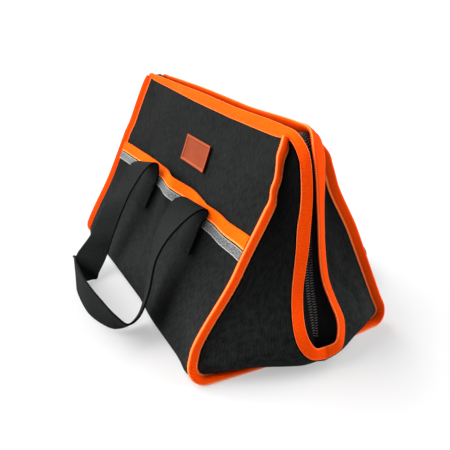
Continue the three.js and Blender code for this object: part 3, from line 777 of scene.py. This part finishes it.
def sew_line(name, frames, thread):
    """A row of stitches of one thread, riding on the bag."""
    bpy.ops.object.select_all(action="DESELECT")
    bpy.ops.mesh.primitive_uv_sphere_add(segments=6, ring_count=4, radius=1)
    stitch = bpy.context.object
    stitch.scale = [size / 2 * MM for size in STITCH_SIZE]
    bpy.ops.object.transform_apply(location=False, rotation=False, scale=True)
    bpy.ops.object.shade_smooth()
    line = copy_along(name, stitch, frames)
    line.data.materials.append(thread)
    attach(line, "root")
    return line


def spun_thread(name, colour):
    """Thread of one colour with faint uneven dye along it."""
    material, tree, shader = start_material(name, 0.6, 0.2)
    dark = [part * 0.7 for part in colour]
    light = [min(part * 1.25, 1.0) for part in colour]
    dye = mottle(tree, bag_place(tree), 380.0, 2.0)
    tree.links.new(colour_between(tree, dark, light, dye), shader.inputs["Base Color"])
    return material


orange_thread = spun_thread("orange thread", (0.85, 0.060, 0.002))


def tape_seam(rows, section, face, seam=STITCH_SHARE):
    """Run of points and outward normals along a tape's sewn line, on one of its faces."""
    points = []
    normals = []
    for i in range(rows + 1):
        root, fold, normal, thickness = section(i / rows)[:4]
        points.append(root.lerp(fold, seam) + normal * face * thickness * STITCH_DEPTH)
        normals.append(normal * face)
    return points, normals


zip_seam = tape_seam(ZIP_ROWS, zip_edge_section, -1)
zip_stitches = sew_line("zip_binding_stitches", stitch_frames(*zip_seam, STITCH_STEP), orange_thread)

# Ends: at each end a horseshoe of the same cloth fills in between the end seam and the zip slit.
# It bellies out over the foot of the slit and is slack where it meets the floor.
GUSSET_CLOTH = 1.6
GUSSET_FLOOR_SAG = 4.4
GUSSET_FLOOR_SHARES = (0.7, 0.9)
SLACK_FROM = (0.25, 0.55)
SLACK_UP_TO = (0.7, 0.98)
GUSSET_WRINKLE = 2.4
GUSSET_UNDER_TAPE = 1.2
GUSSET_TOP_ROW = 3.2
FOOT_WARP = 1.65
END_TAPE_TURN = {1: 0.36 * math.pi, -1: 0.16 * math.pi}
SEAM_BEND_SHARE = 0.12
SEAM_TUCK_SHARE = {"front": 0.025, "back": 0.055}
GUSSET_GAP = 0.15
GUSSET_TUCK = 0.8
SLIT_STEPS = 60
# How far the cloth of an end bows out, by the share of the way down its seam.
GUSSET_BOW = [(0, 0), (0.2, -3), (0.4, -2), (0.6, 4), (0.8, 4), (1, 0)]


def end_seam(is_front, side_x, share):
    """Seam of one half of an end, from its top (0) to the middle of the base (1): where its tape starts,
    which way the tape stands, which way is in, and how near it is to where it slips under the zip edge."""
    top = seam_top(is_front, side_x)
    x = side_x * END_SEAM_X
    floor_z = END_TAPE_THICKNESS / 2
    length = outline_length(is_front, x, top, floor_z)
    p, out, on_wall_share = outline_point(is_front, x, top, floor_z, share * length)
    bent = 1 - ease(share, 0, SEAM_BEND_SHARE)
    tucked = 1 - ease(share, 0, SEAM_TUCK_SHARE["front" if is_front else "back"])
    turn = END_TAPE_TURN[side_x] * ease(on_wall_share, 0, 1)
    stand = Vector((side_x * math.cos(turn), 0, 0)) + out * math.sin(turn)
    inward = Vector((side_x * math.sin(turn), 0, 0)) - out * math.cos(turn)
    side = Vector((1, -1 if is_front else 1, 1))
    return p * side + seam_shift(is_front, side_x) * bent, stand * side, inward * side, tucked


# Black cloth with painted shade high up and painted light near the floor, for the ends and the pocket.
height_shaded_cloth = woven_cloth("black cloth with painted shade", CLOTH_DARK, CLOTH_LIGHT, CLOTH_THREAD, CLOTH_SLUB, True)


def crease_height(spot, start, end, width, height):
    """Height of one soft crease between two places on an end, each in y and z."""
    run = Vector(end) - Vector(start)
    away = Vector((spot.y, spot.z)) - Vector(start)
    share = clamp(away.dot(run) / run.length_squared)
    distance = (away - run * share).length
    return height * math.exp(-((distance / width) ** 2))


def end_cloth(name, side_x, creases):
    """The cloth of one end, laid from its seam to the edge of the slit."""
    slit_runs = {True: [], False: []}
    for is_front, slit_run in slit_runs.items():
        for i in range(SLIT_STEPS + 1):
            row = lerp(GUSSET_TOP_ROW, ZIP_LAST, i / SLIT_STEPS)
            root, fold = zip_section(row, side_x, 1 if is_front else -1)[:2]
            slit_run.append(root - (fold - root).normalized() * GUSSET_UNDER_TAPE)
    off_seam = END_TAPE_THICKNESS / 2 + GUSSET_GAP + GUSSET_CLOTH / 2

    def on_slit(is_front, share):
        run = slit_runs[is_front]
        left = share * run_length(run)
        for a, b in zip(run, run[1:]):
            piece = (b - a).length
            if left <= piece:
                return a.lerp(b, left / piece)
            left -= piece
        return run[-1]

    def on_end(u, v):
        is_front = u <= 0.5
        along = 1 - abs(2 * u - 1)
        p, stand, inward, tucked = end_seam(is_front, side_x, along)
        outer = p + inward * off_seam * (1 - GUSSET_TUCK * tucked) - stand * GUSSET_UNDER_TAPE
        inner = on_slit(is_front, 1 - (1 - along) ** FOOT_WARP)
        bow = side_x * table_value(GUSSET_BOW, along)
        on_floor = ease(along, *GUSSET_FLOOR_SHARES)
        slack = ease(v, *SLACK_FROM) * (1 - ease(v, *SLACK_UP_TO))
        spot = outer.lerp(inner, v)
        held = math.sin(math.pi * v)
        fold = GUSSET_WRINKLE * noise.noise(Vector((spot.y * 0.035, spot.z * 0.022, 3 * side_x)))
        for crease in creases:
            fold += crease_height(spot, **crease)
        spot.x += (bow + side_x * fold * (1 - on_floor)) * held
        spot.z -= GUSSET_FLOOR_SAG * on_floor * slack
        return spot

    gusset = lay_cloth(name + "_cloth", 150, 36, on_end, GUSSET_CLOTH, True)
    gusset.data.materials.append(height_shaded_cloth)
    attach(gusset, "root")
    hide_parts(name)


RIGHT_CREASES = [
    {"start": (27, 92), "end": (44, 62), "width": 6, "height": 2.6},
    {"start": (52, 70), "end": (66, 40), "width": 8, "height": 1.8},
    {"start": (36, 70), "end": (52, 44), "width": 5, "height": -1.8},
    {"start": (-62, 60), "end": (-40, 110), "width": 10, "height": 1.4},
]
LEFT_CREASES = [
    {"start": (-30, 85), "end": (-52, 50), "width": 7, "height": 2.2},
    {"start": (38, 95), "end": (60, 55), "width": 8, "height": 1.8},
]
end_cloth("end_gusset_right", 1, RIGHT_CREASES)
end_cloth("end_gusset_left", -1, LEFT_CREASES)

# End seams: the body and each end are sewn together inside a folded orange tape that stands out from the bag
# like a thick rim and lies flat on the floor under the end.
END_TAPE_WIDTH = 11.0
END_TAPE_TUCK = 2.0
END_TAPE_NARROWING = 0.22
END_TAPE_ROWS = 260
END_STITCH_SHARE = 0.32
SLIM_FROM_Z = (140, 154)
SLIM_UP_TO_Z = (176, 188)
TUCK_NARROWING = {"front": 0.15, "back": 0.7}
TUCK_THINNING = {"front": 0, "back": 0.4}
orange_tape = ribbed_tape("orange seam tape", *ORANGE)


def end_tape_section(side_x):
    """Section of an end's tape, slimmer high on the right front and where it slips under the zip edge."""

    def section(u):
        is_front = u <= 0.5
        half = "front" if is_front else "back"
        p, stand, inward, tucked = end_seam(is_front, side_x, 1 - abs(2 * u - 1))
        slim = 1.0
        if is_front and side_x > 0:
            slim -= END_TAPE_NARROWING * ease(p.z, *SLIM_FROM_Z) * (1 - ease(p.z, *SLIM_UP_TO_Z))
        width = END_TAPE_WIDTH * slim * (1 - TUCK_NARROWING[half] * tucked)
        thickness = END_TAPE_THICKNESS * slim * (1 - TUCK_THINNING[half] * tucked)
        root = p - stand * END_TAPE_TUCK
        fold = p + stand * (width - END_TAPE_TUCK)
        return root, fold, inward, thickness, END_STITCH_SHARE

    return section


for side_name, side_x in (("right", 1), ("left", -1)):
    section = end_tape_section(side_x)
    end_tape = lay_tape(f"end_binding_{side_name}_tape", END_TAPE_ROWS, section, False)
    end_tape.data.materials.append(orange_tape)
    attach(end_tape, "root")
    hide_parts(f"end_binding_{side_name}")
    seam_frames = []
    for face in (1, -1):
        seam_frames += stitch_frames(*tape_seam(END_TAPE_ROWS, section, face, END_STITCH_SHARE), STITCH_STEP)
    end_stitches = sew_line(f"end_binding_{side_name}_stitches", seam_frames, orange_thread)

# Zip: two black woven tapes are sewn behind the binding and meet under the coil. The zip is shut all the way
# from the foot of one slit, over the ridge, to the foot of the other.
ZIP_TAPE_CLOTH = 1.0
ZIP_TAPE_EDGE_Y = 0.25
ZIP_TAPE_GAP = 0.8
ZIP_TAPE_HIDDEN = 2.5
ZIP_TAPE_LAST_ROW = ZIP_LAST - 0.6
zip_cloth = woven_cloth("black zip tape", (0.0035, 0.0036, 0.0037), (0.0075, 0.0078, 0.0080), 0.0007, 700)


def zip_run_place(u, last_row):
    """Row and end for a share of the run from the foot of the left slit to the foot of the right one."""
    return abs(2 * u - 1) * last_row, 1 if u >= 0.5 else -1


def zip_tape(name, side_y):
    """One tape of the zip, from behind the binding to the coil."""

    def on_zip_tape(u, v):
        row, side_x = zip_run_place(u, ZIP_TAPE_LAST_ROW)
        root, fold, inward, chain = zip_section(row, side_x, side_y)
        reach = ZIP_EDGE_THICKNESS / 2 + ZIP_TAPE_GAP + ZIP_TAPE_CLOTH / 2
        outer = root + inward * reach + (fold - root).normalized() * ZIP_TAPE_HIDDEN
        inner = chain + Vector((0, -side_y * ZIP_TAPE_EDGE_Y, 0))
        return outer.lerp(inner, v)

    tape = lay_cloth(name + "_cloth", 240, 8, on_zip_tape, ZIP_TAPE_CLOTH)
    tape.data.materials.append(zip_cloth)
    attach(tape, "root")
    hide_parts(name)


zip_tape("zip_tape_front", 1)
zip_tape("zip_tape_back", -1)

# Coil: the zip's black plastic teeth are small rounded bars across the chain, in two rows that mesh.
# One tooth is modelled once and copied along both edges of the tapes.
TOOTH_PITCH = 2.4
TOOTH_ROW_OFFSET = 2.3
TOOTH_LIFT = 1.0
TOOTH_SIZE = Vector((1.0, 4.1, 1.4)) * MM
TOOTH_BEVEL = 0.35
COIL_ROWS = 400
COIL_LAST_ROW = ZIP_LAST - 1.2
COIL_DARK = (0.022, 0.022, 0.022)
COIL_LIGHT = (0.075, 0.075, 0.073)
coil_points = []
for i in range(COIL_ROWS + 1):
    row, side_x = zip_run_place(i / COIL_ROWS, COIL_LAST_ROW)
    coil_points.append(zip_section(row, side_x, 1)[3])
coil_normals = []
for a, b in zip(coil_points, coil_points[1:]):
    along = (b - a).normalized()
    coil_normals.append(Vector((-along.z, 0, along.x)))
coil_frames = []
for k, turn in enumerate(stitch_frames(coil_points, coil_normals, TOOTH_PITCH / 2)):
    aside = TOOTH_ROW_OFFSET if k % 2 else -TOOTH_ROW_OFFSET
    coil_frames.append(turn @ Matrix.Translation((0, aside * MM, TOOTH_LIFT * MM)))
bpy.ops.object.select_all(action="DESELECT")
bpy.ops.mesh.primitive_cube_add(size=1)
tooth = bpy.context.object
tooth.scale = TOOTH_SIZE
bpy.ops.object.transform_apply(location=False, rotation=False, scale=True)
bpy.ops.object.mode_set(mode="EDIT")
bpy.ops.mesh.select_all(action="SELECT")
bpy.ops.mesh.bevel(offset=TOOTH_BEVEL * MM, segments=1, affect="EDGES")
bpy.ops.object.mode_set(mode="OBJECT")
zip_coil = copy_along("zip_coil_teeth", tooth, coil_frames)
coil_plastic, tree, shader = start_material("black coil plastic", 0.38, 0.5)
rubbed = mottle(tree, bag_place(tree), 140.0, 3.0)
tree.links.new(colour_between(tree, COIL_DARK, COIL_LIGHT, rubbed), shader.inputs["Base Color"])
tree.links.new(reckon(tree, "MULTIPLY_ADD", rubbed, 0.25, 0.28), shader.inputs["Roughness"])
zip_coil.data.materials.append(coil_plastic)
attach(zip_coil, "root")
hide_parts("zip_chain")

# Slider: a small black enamelled body over the coil at the foot of the left slit, with a pull tab that hangs
# from its bridge.
SLIDER_DARK = (0.012, 0.012, 0.012)
SLIDER_WORN = (0.06, 0.06, 0.058)
slider_paint, tree, shader = start_material("black slider enamel", 0.35, 0.5)
wear_and_highlight = ramp(tree, mottle(tree, bag_place(tree), 300.0, 4.0), 0.58, 0.75)
tree.links.new(colour_between(tree, SLIDER_DARK, SLIDER_WORN, wear_and_highlight), shader.inputs["Base Color"])
tree.links.new(reckon(tree, "MULTIPLY_ADD", wear_and_highlight, 0.2, 0.32), shader.inputs["Roughness"])
slider_low, slider_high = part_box("zip_slider")
PULL_INSET = 0.0010
# Lowest and highest corners of each part, and how far its edges are rounded.
SLIDER_PARTS = {
    "zip_slider_body": ((-0.2005, slider_low.y, 0.042), (-0.1940, slider_high.y, 0.0565), 0.0012),
    "zip_slider_bridge": ((-0.2034, -0.0012, 0.0440), (-0.2000, 0.0012, 0.0545), 0.0008),
    "zip_slider_pull": (
        (-0.2034, slider_low.y + PULL_INSET, slider_low.z),
        (-0.2018, slider_high.y - PULL_INSET, 0.0480),
        0.0006,
    ),
}
for name, (low, high, bevel) in SLIDER_PARTS.items():
    bpy.ops.object.select_all(action="DESELECT")
    bpy.ops.mesh.primitive_cube_add(size=1, location=(Vector(low) + Vector(high)) / 2)
    part = bpy.context.object
    part.name = name
    part.scale = Vector(high) - Vector(low)
    bpy.ops.object.transform_apply(location=True, rotation=False, scale=True)
    bpy.ops.object.modifier_add(type="BEVEL")
    part.modifiers["Bevel"].width = bevel
    part.modifiers["Bevel"].segments = 3
    bpy.ops.object.modifier_apply(modifier="Bevel")
    bpy.ops.object.shade_smooth_by_angle(angle=math.radians(40))
    part.data.materials.append(slider_paint)
    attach(part, "root")
    if name == "zip_slider_body":
        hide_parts("zip_slider")

# Front pocket: a second sheet of the black cloth over the lower front, caught in the end seams and along the
# foot, and gaping a little between the handles.
POCKET_CLOTH = 1.5
POCKET_FOOT = 3.5
POCKET_MOUTH = 125.0
POCKET_GAPE = 9.5
POCKET_GAPE_FOOT = 50.0
POCKET_GAPE_HALF_LENGTH = 48.0
POCKET_GAP = 0.8
POCKET_HEM = 2.0
FRONT_HALF_LENGTH = WALL_HALF_LENGTH - 0.4
# How far the mouth has sunk, by the place along the bag.
MOUTH_DROP = [
    (-163.2, 0.8),
    (-105, 2.2),
    (-40, 4.4),
    (30, 5.6),
    (65, 8.2),
    (95, 6.8),
    (120, 8.2),
    (163.2, 6),
]
# Soft bulges of the mouth: where each is along the bag, how wide it is and how far it stands out.
MOUTH_WAVES = [(86, 15, 2.0), (4, 12, 1.2), (-96, 16, 1.5)]


def sunk(x, up):
    """Place up the slope once the mouth has sunk towards the right end."""
    return up - table_value(MOUTH_DROP, x) * clamp(up / POCKET_MOUTH)


def stands_out(bulges, x):
    """How far soft bulges stand out, at a place along the bag."""
    return sum(out * math.exp(-(((x - middle) / width) ** 2)) for middle, width, out in bulges)


def on_pocket(x, up, lift):
    """Point on the pocket, lifted off the middle of its cloth."""
    mouth = ease(up, POCKET_GAPE_FOOT, POCKET_MOUTH)
    between = math.cos(math.pi / 2 * clamp(x / POCKET_GAPE_HALF_LENGTH, -1, 1)) ** 2
    gape = POCKET_GAPE * between + stands_out(MOUTH_WAVES, x)
    off_wall = WALL_CLOTH / 2 + POCKET_GAP + POCKET_CLOTH / 2
    return on_wall(True, x, sunk(x, up), off_wall + gape * mouth + lift)


def on_pocket_cloth(u, v):
    x = FRONT_HALF_LENGTH * (2 * u - 1)
    return on_pocket(x, lerp(POCKET_FOOT, POCKET_MOUTH + POCKET_HEM, v), 0)


front_pocket = lay_cloth("front_pocket_cloth", 96, 44, on_pocket_cloth, POCKET_CLOTH)
front_pocket.data.materials.append(height_shaded_cloth)
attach(front_pocket, "root")
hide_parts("front_pocket")

# Pocket mouth: the pocket's top edge is bound in the same orange tape, folded over and sewn, its colours
# painted a little paler than at the seams as painted light where it faces the main light. Its fold leans out
# in soft waves.
MOUTH_TAPE_TOP = 137.0
MOUTH_TAPE_THICKNESS = 3.2
MOUTH_ROWS = 120
MOUTH_LEANS = [(80, 17, 2.6), (-2, 14, 2.0)]
# Dark, light and edge colours of the mouth tape, painted paler as painted light.
LIT_MOUTH_ORANGE = ((0.66, 0.066, 0.0012), (0.94, 0.128, 0.0034), (0.98, 0.25, 0.06))


def mouth_section(u):
    x = FRONT_HALF_LENGTH * (2 * u - 1)
    lift = (MOUTH_TAPE_THICKNESS - POCKET_CLOTH) / 2
    root = on_pocket(x, POCKET_MOUTH, lift)
    fold = on_pocket(x, MOUTH_TAPE_TOP, lift + stands_out(MOUTH_LEANS, x))
    normal = Vector((0, -math.cos(WALL_LEAN), math.sin(WALL_LEAN)))
    return root, fold, normal, MOUTH_TAPE_THICKNESS


pocket_binding = lay_tape("pocket_binding_tape", MOUTH_ROWS, mouth_section, False)
pocket_binding.data.materials.append(ribbed_tape("orange tape with painted light", *LIT_MOUTH_ORANGE))
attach(pocket_binding, "root")
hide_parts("pocket_binding")
mouth_seam = tape_seam(MOUTH_ROWS, mouth_section, 1)
mouth_stitches = sew_line("pocket_binding_stitches", stitch_frames(*mouth_seam, STITCH_STEP), orange_thread)

# Reflective strip: a narrow grey tape with white borders and a fine net of beads, sewn across the pocket
# just under its mouth.
STRIP_FOOT = 114.5
STRIP_TOP = 123.5
STRIP_CLOTH = 0.8
LAYER_GAP = 0.4
NET_PITCH = 0.0030
NET_DARK = (0.008, 0.009, 0.009)
NET_LIGHT = (0.155, 0.162, 0.162)
BORDER_WHITE = (0.24, 0.245, 0.24)


def on_strip(u, v):
    x = FRONT_HALF_LENGTH * (2 * u - 1)
    return on_pocket(x, lerp(STRIP_FOOT, STRIP_TOP, v), POCKET_CLOTH / 2 + LAYER_GAP + STRIP_CLOTH / 2)


reflective_strip = lay_cloth("reflective_strip_tape", 120, 8, on_strip, STRIP_CLOTH)
reflective_tape, tree, shader = start_material("grey reflective tape", 0.5, 0.1)
place = cloth_place(tree)
parts = parts_of(tree, place)
lines = []
for slant in (1.0, -1.0):
    across_net = reckon(tree, "MULTIPLY_ADD", parts["Y"], slant, parts["X"])
    lines.append(reckon(tree, "GREATER_THAN", ripple(tree, across_net, NET_PITCH), 0.45))
net = reckon(tree, "MAXIMUM", *lines)
fleck = ramp(tree, mottle(tree, place, 620.0, 1.0), 0.40, 0.60)
tone = reckon(tree, "MULTIPLY_ADD", net, 0.4, reckon(tree, "MULTIPLY", fleck, 0.6))
field = colour_between(tree, NET_DARK, NET_LIGHT, tone)
height_share = reckon(tree, "DIVIDE", parts["Y"], (STRIP_TOP - STRIP_FOOT) * MM)
from_middle = reckon(tree, "ABSOLUTE", reckon(tree, "SUBTRACT", height_share, 0.5))
border = reckon(tree, "GREATER_THAN", from_middle, 0.40)
tree.links.new(colour_between(tree, field, BORDER_WHITE, border), shader.inputs["Base Color"])
raise_bump(tree, shader, reckon(tree, "ADD", net, fleck), 0.0003, 0.4)
reflective_strip.data.materials.append(reflective_tape)
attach(reflective_strip, "root")
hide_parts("reflective_strip")

# Label: a small moulded patch of soft orange plastic with a raised rim, fixed flat on the upper front.
# Its face is plain.
LABEL_CENTRE_X = 10.0
LABEL_FOOT = 151.0
LABEL_LENGTH = 58.0
LABEL_HEIGHT = 29.0
LABEL_THICKNESS = 1.8
LABEL_RIM = 2.6
LABEL_RIM_HEIGHT = 0.7
LABEL_GAP = 0.3
LABEL_DARK = (0.165, 0.0290, 0.0090)
LABEL_LIGHT = (0.225, 0.0400, 0.0130)
LABEL_RIM_COLOUR = (0.270, 0.0560, 0.0190)
# Painted shade on the patch's side walls.
LABEL_SIDE_SHADE = (0.085, 0.0070, 0.0022)


def on_label(u, v):
    x = LABEL_CENTRE_X + LABEL_LENGTH * (u - 0.5)
    up = LABEL_FOOT + LABEL_HEIGHT * v
    from_edge = min(u * LABEL_LENGTH, (1 - u) * LABEL_LENGTH, v * LABEL_HEIGHT, (1 - v) * LABEL_HEIGHT)
    rim = LABEL_RIM_HEIGHT * (1 - ease(from_edge, LABEL_RIM - 0.5, LABEL_RIM + 0.5))
    return on_wall(True, x, up, WALL_CLOTH / 2 + LABEL_GAP + LABEL_THICKNESS / 2 + rim)


label_patch = lay_cloth("label_patch_moulding", 116, 58, on_label, LABEL_THICKNESS)
label_plastic, tree, shader = start_material("soft orange plastic", 0.6, 0.02)
spot = bag_place(tree)
parts = parts_of(tree, cloth_place(tree))
edges = []
for axis, size in (("X", LABEL_LENGTH * MM), ("Y", LABEL_HEIGHT * MM)):
    from_middle = reckon(tree, "ABSOLUTE", reckon(tree, "SUBTRACT", parts[axis], size / 2))
    edges.append(reckon(tree, "SUBTRACT", from_middle, size / 2))
to_edge = reckon(tree, "MULTIPLY", reckon(tree, "MAXIMUM", *edges), -1.0)
face = colour_between(tree, LABEL_DARK, LABEL_LIGHT, mottle(tree, spot, 120.0, 3.0))
field = ramp(tree, to_edge, (LABEL_RIM - 0.4) * MM, (LABEL_RIM + 0.4) * MM)
rimmed = colour_between(tree, LABEL_RIM_COLOUR, face, field)
# A narrow band round the patch's edge, on its side walls, is painted dark as painted shade.
painted_side_shade = ramp(tree, to_edge, 0.5 * MM, 0.2 * MM)
tree.links.new(colour_between(tree, rimmed, LABEL_SIDE_SHADE, painted_side_shade), shader.inputs["Base Color"])
raise_bump(tree, shader, mottle(tree, spot, 1600.0, 2.0), 0.0002, 0.3)
label_patch.data.materials.append(label_plastic)
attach(label_patch, "root")
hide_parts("label_patch")

# Handles: a loop of black webbing on each side, sewn flat below the pocket mouth with a boxed cross. It has
# fallen outwards, so that its middle stands on its edge on the floor.
WEBBING_WIDTH = 38.0
WEBBING_THICKNESS = 2.0
HANDLE_HALF_SPAN = 66.0
HANDLE_SEWN_FOOT = 84.0
HANDLE_SEWN_TOP = 119.0
# Rows of the middle of the webbing and the way across it, from the left sewn end to the right one.
HANDLE_LOOP = [
    ((-63, -50, 116), (1, 0.03, 0.05)),
    ((-58.5, -54.6, 124.6), (1, 0.2, 0.16)),
    ((-56, -63, 126.4), (0.96, 0.28, 0.2)),
    ((-58, -71.3, 119), (0.96, 0.25, 0.22)),
    ((-64, -84, 97), (0.96, 0.16, 0.22)),
    ((-70, -98.5, 71.5), (0.91, 0.34, 0.21)),
    ((-73.5, -112, 42.6), (0.86, 0.46, 0.23)),
    ((-75, -124.7, 20.4), (0.77, 0.64, 0.02)),
    ((-63, -136, 12.6), (0.83, 0.48, -0.28)),
    ((-43, -145.4, 18), (-0.12, 0.44, -0.89)),
    ((-35, -154.4, 19.6), (-0.34, 0.08, -0.94)),
    ((-12, -157.6, 20.4), (-0.05, -0.03, -1)),
    ((25, -158, 20.2), (-0.06, 0, -1)),
    ((60, -152, 19.3), (-0.35, 0.1, -0.93)),
    ((78, -145, 17), (-0.62, 0.15, -0.77)),
    ((84, -135, 14.5), (-0.8, 0.25, -0.55)),
    ((80, -123, 18), (-0.84, 0.26, -0.47)),
    ((75, -111, 38), (-0.87, 0.22, -0.43)),
    ((68, -101, 66), (-0.88, 0.18, -0.42)),
    ((70, -91, 92.5), (-0.96, 0.06, -0.24)),
    ((72.5, -77.2, 112), (-0.98, -0.12, -0.1)),
    ((73.5, -66, 121.4), (-0.98, -0.2, 0.02)),
    ((73, -57, 121), (-1, -0.14, 0.02)),
    ((70.5, -52.2, 113.5), (-1, -0.05, 0)),
]
WEBBING_RIB = 0.0024
WEBBING_THREADS = (0.0013, 0.0012)
WEBBING_DARK = (0.0022, 0.0027, 0.0026)
WEBBING_LIGHT = (0.0150, 0.0174, 0.0168)
webbing, tree, shader = start_material("black ribbed webbing", 0.75, 0.02)
place = cloth_place(tree)
cords = ripple(tree, parts_of(tree, place)["Y"], WEBBING_RIB)
picks = plain_weave(tree, place, *WEBBING_THREADS)
yarn = uneven_yarn(tree, place, 800, (0.35, 1, 1))
tone = reckon(tree, "MULTIPLY_ADD", yarn["Slubs"], 0.9, reckon(tree, "MULTIPLY", picks, 0.3))
share = ramp(tree, tone, 0.35, 0.95)
tree.links.new(colour_between(tree, WEBBING_DARK, WEBBING_LIGHT, share), shader.inputs["Base Color"])
raise_bump(tree, shader, reckon(tree, "MULTIPLY_ADD", cords, 0.5, picks), 0.0004, 0.5)
black_thread = spun_thread("black thread", (0.008, 0.009, 0.009))
HANDLE_STITCH_STEP = 3.0
HANDLE_SEAM_STEPS = 8
# Corners of the sewn line at each end of a handle: a box and a cross, across and up the webbing.
HANDLE_SEAM = ((-15, 87), (15, 87), (15, 115), (-15, 115), (-15, 87), (15, 115), (15, 87), (-15, 115))
ON_POCKET = POCKET_CLOTH / 2 + LAYER_GAP + STRIP_CLOTH + LAYER_GAP + WEBBING_THICKNESS / 2
ON_BACK = WALL_CLOTH / 2 + 3 * LAYER_GAP + WEBBING_THICKNESS / 2


def handle(name, side_y, on_base):
    """One handle; on_base gives a point on what its ends are sewn to, at a lift off it."""
    sewn = {-1: [], 1: []}
    for side_x, ends in sewn.items():
        for share in (0, 0.5, 1):
            up = lerp(HANDLE_SEWN_FOOT, HANDLE_SEWN_TOP, share)
            middle = side_x * HANDLE_HALF_SPAN
            a, b = (on_base(middle - side_x * side * WEBBING_WIDTH / 2, up, 0) for side in (-1, 1))
            ends.append(((a + b) / 2, (b - a).normalized()))
    mirror = Vector((1, side_y, 1))
    loop = [(Vector(mid) * mirror, Vector(across).normalized() * mirror) for mid, across in HANDLE_LOOP]
    stations = sewn[-1] + loop + sewn[1][::-1]
    middles = [mid for mid, across in stations]
    crossings = [across for mid, across in stations]
    last = len(stations) - 1

    def on_handle(u, v):
        across = through(crossings, u * last).normalized()
        return through(middles, u * last) + across * WEBBING_WIDTH * (v - 0.5)

    strap = lay_cloth(name + "_webbing", 240, 14, on_handle, WEBBING_THICKNESS)
    strap.data.materials.append(webbing)
    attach(strap, "root")
    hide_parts(name)
    frames = []
    outward = Vector((0, -side_y * math.cos(WALL_LEAN), math.sin(WALL_LEAN)))
    for x in (-HANDLE_HALF_SPAN, HANDLE_HALF_SPAN):
        for (x0, up0), (x1, up1) in zip(HANDLE_SEAM, HANDLE_SEAM[1:]):
            run = []
            for k in range(HANDLE_SEAM_STEPS + 1):
                share = k / HANDLE_SEAM_STEPS
                run.append(on_base(x + lerp(x0, x1, share), lerp(up0, up1, share), WEBBING_THICKNESS / 2))
            frames += stitch_frames(run, [outward] * HANDLE_SEAM_STEPS, HANDLE_STITCH_STEP)
    stitches = sew_line(name + "_stitches", frames, black_thread)


handle("handle_front", 1, lambda x, up, lift: on_pocket(x, up, ON_POCKET + lift))
handle("handle_back", -1, lambda x, up, lift: on_wall(False, x, sunk(x, up), ON_BACK + lift))
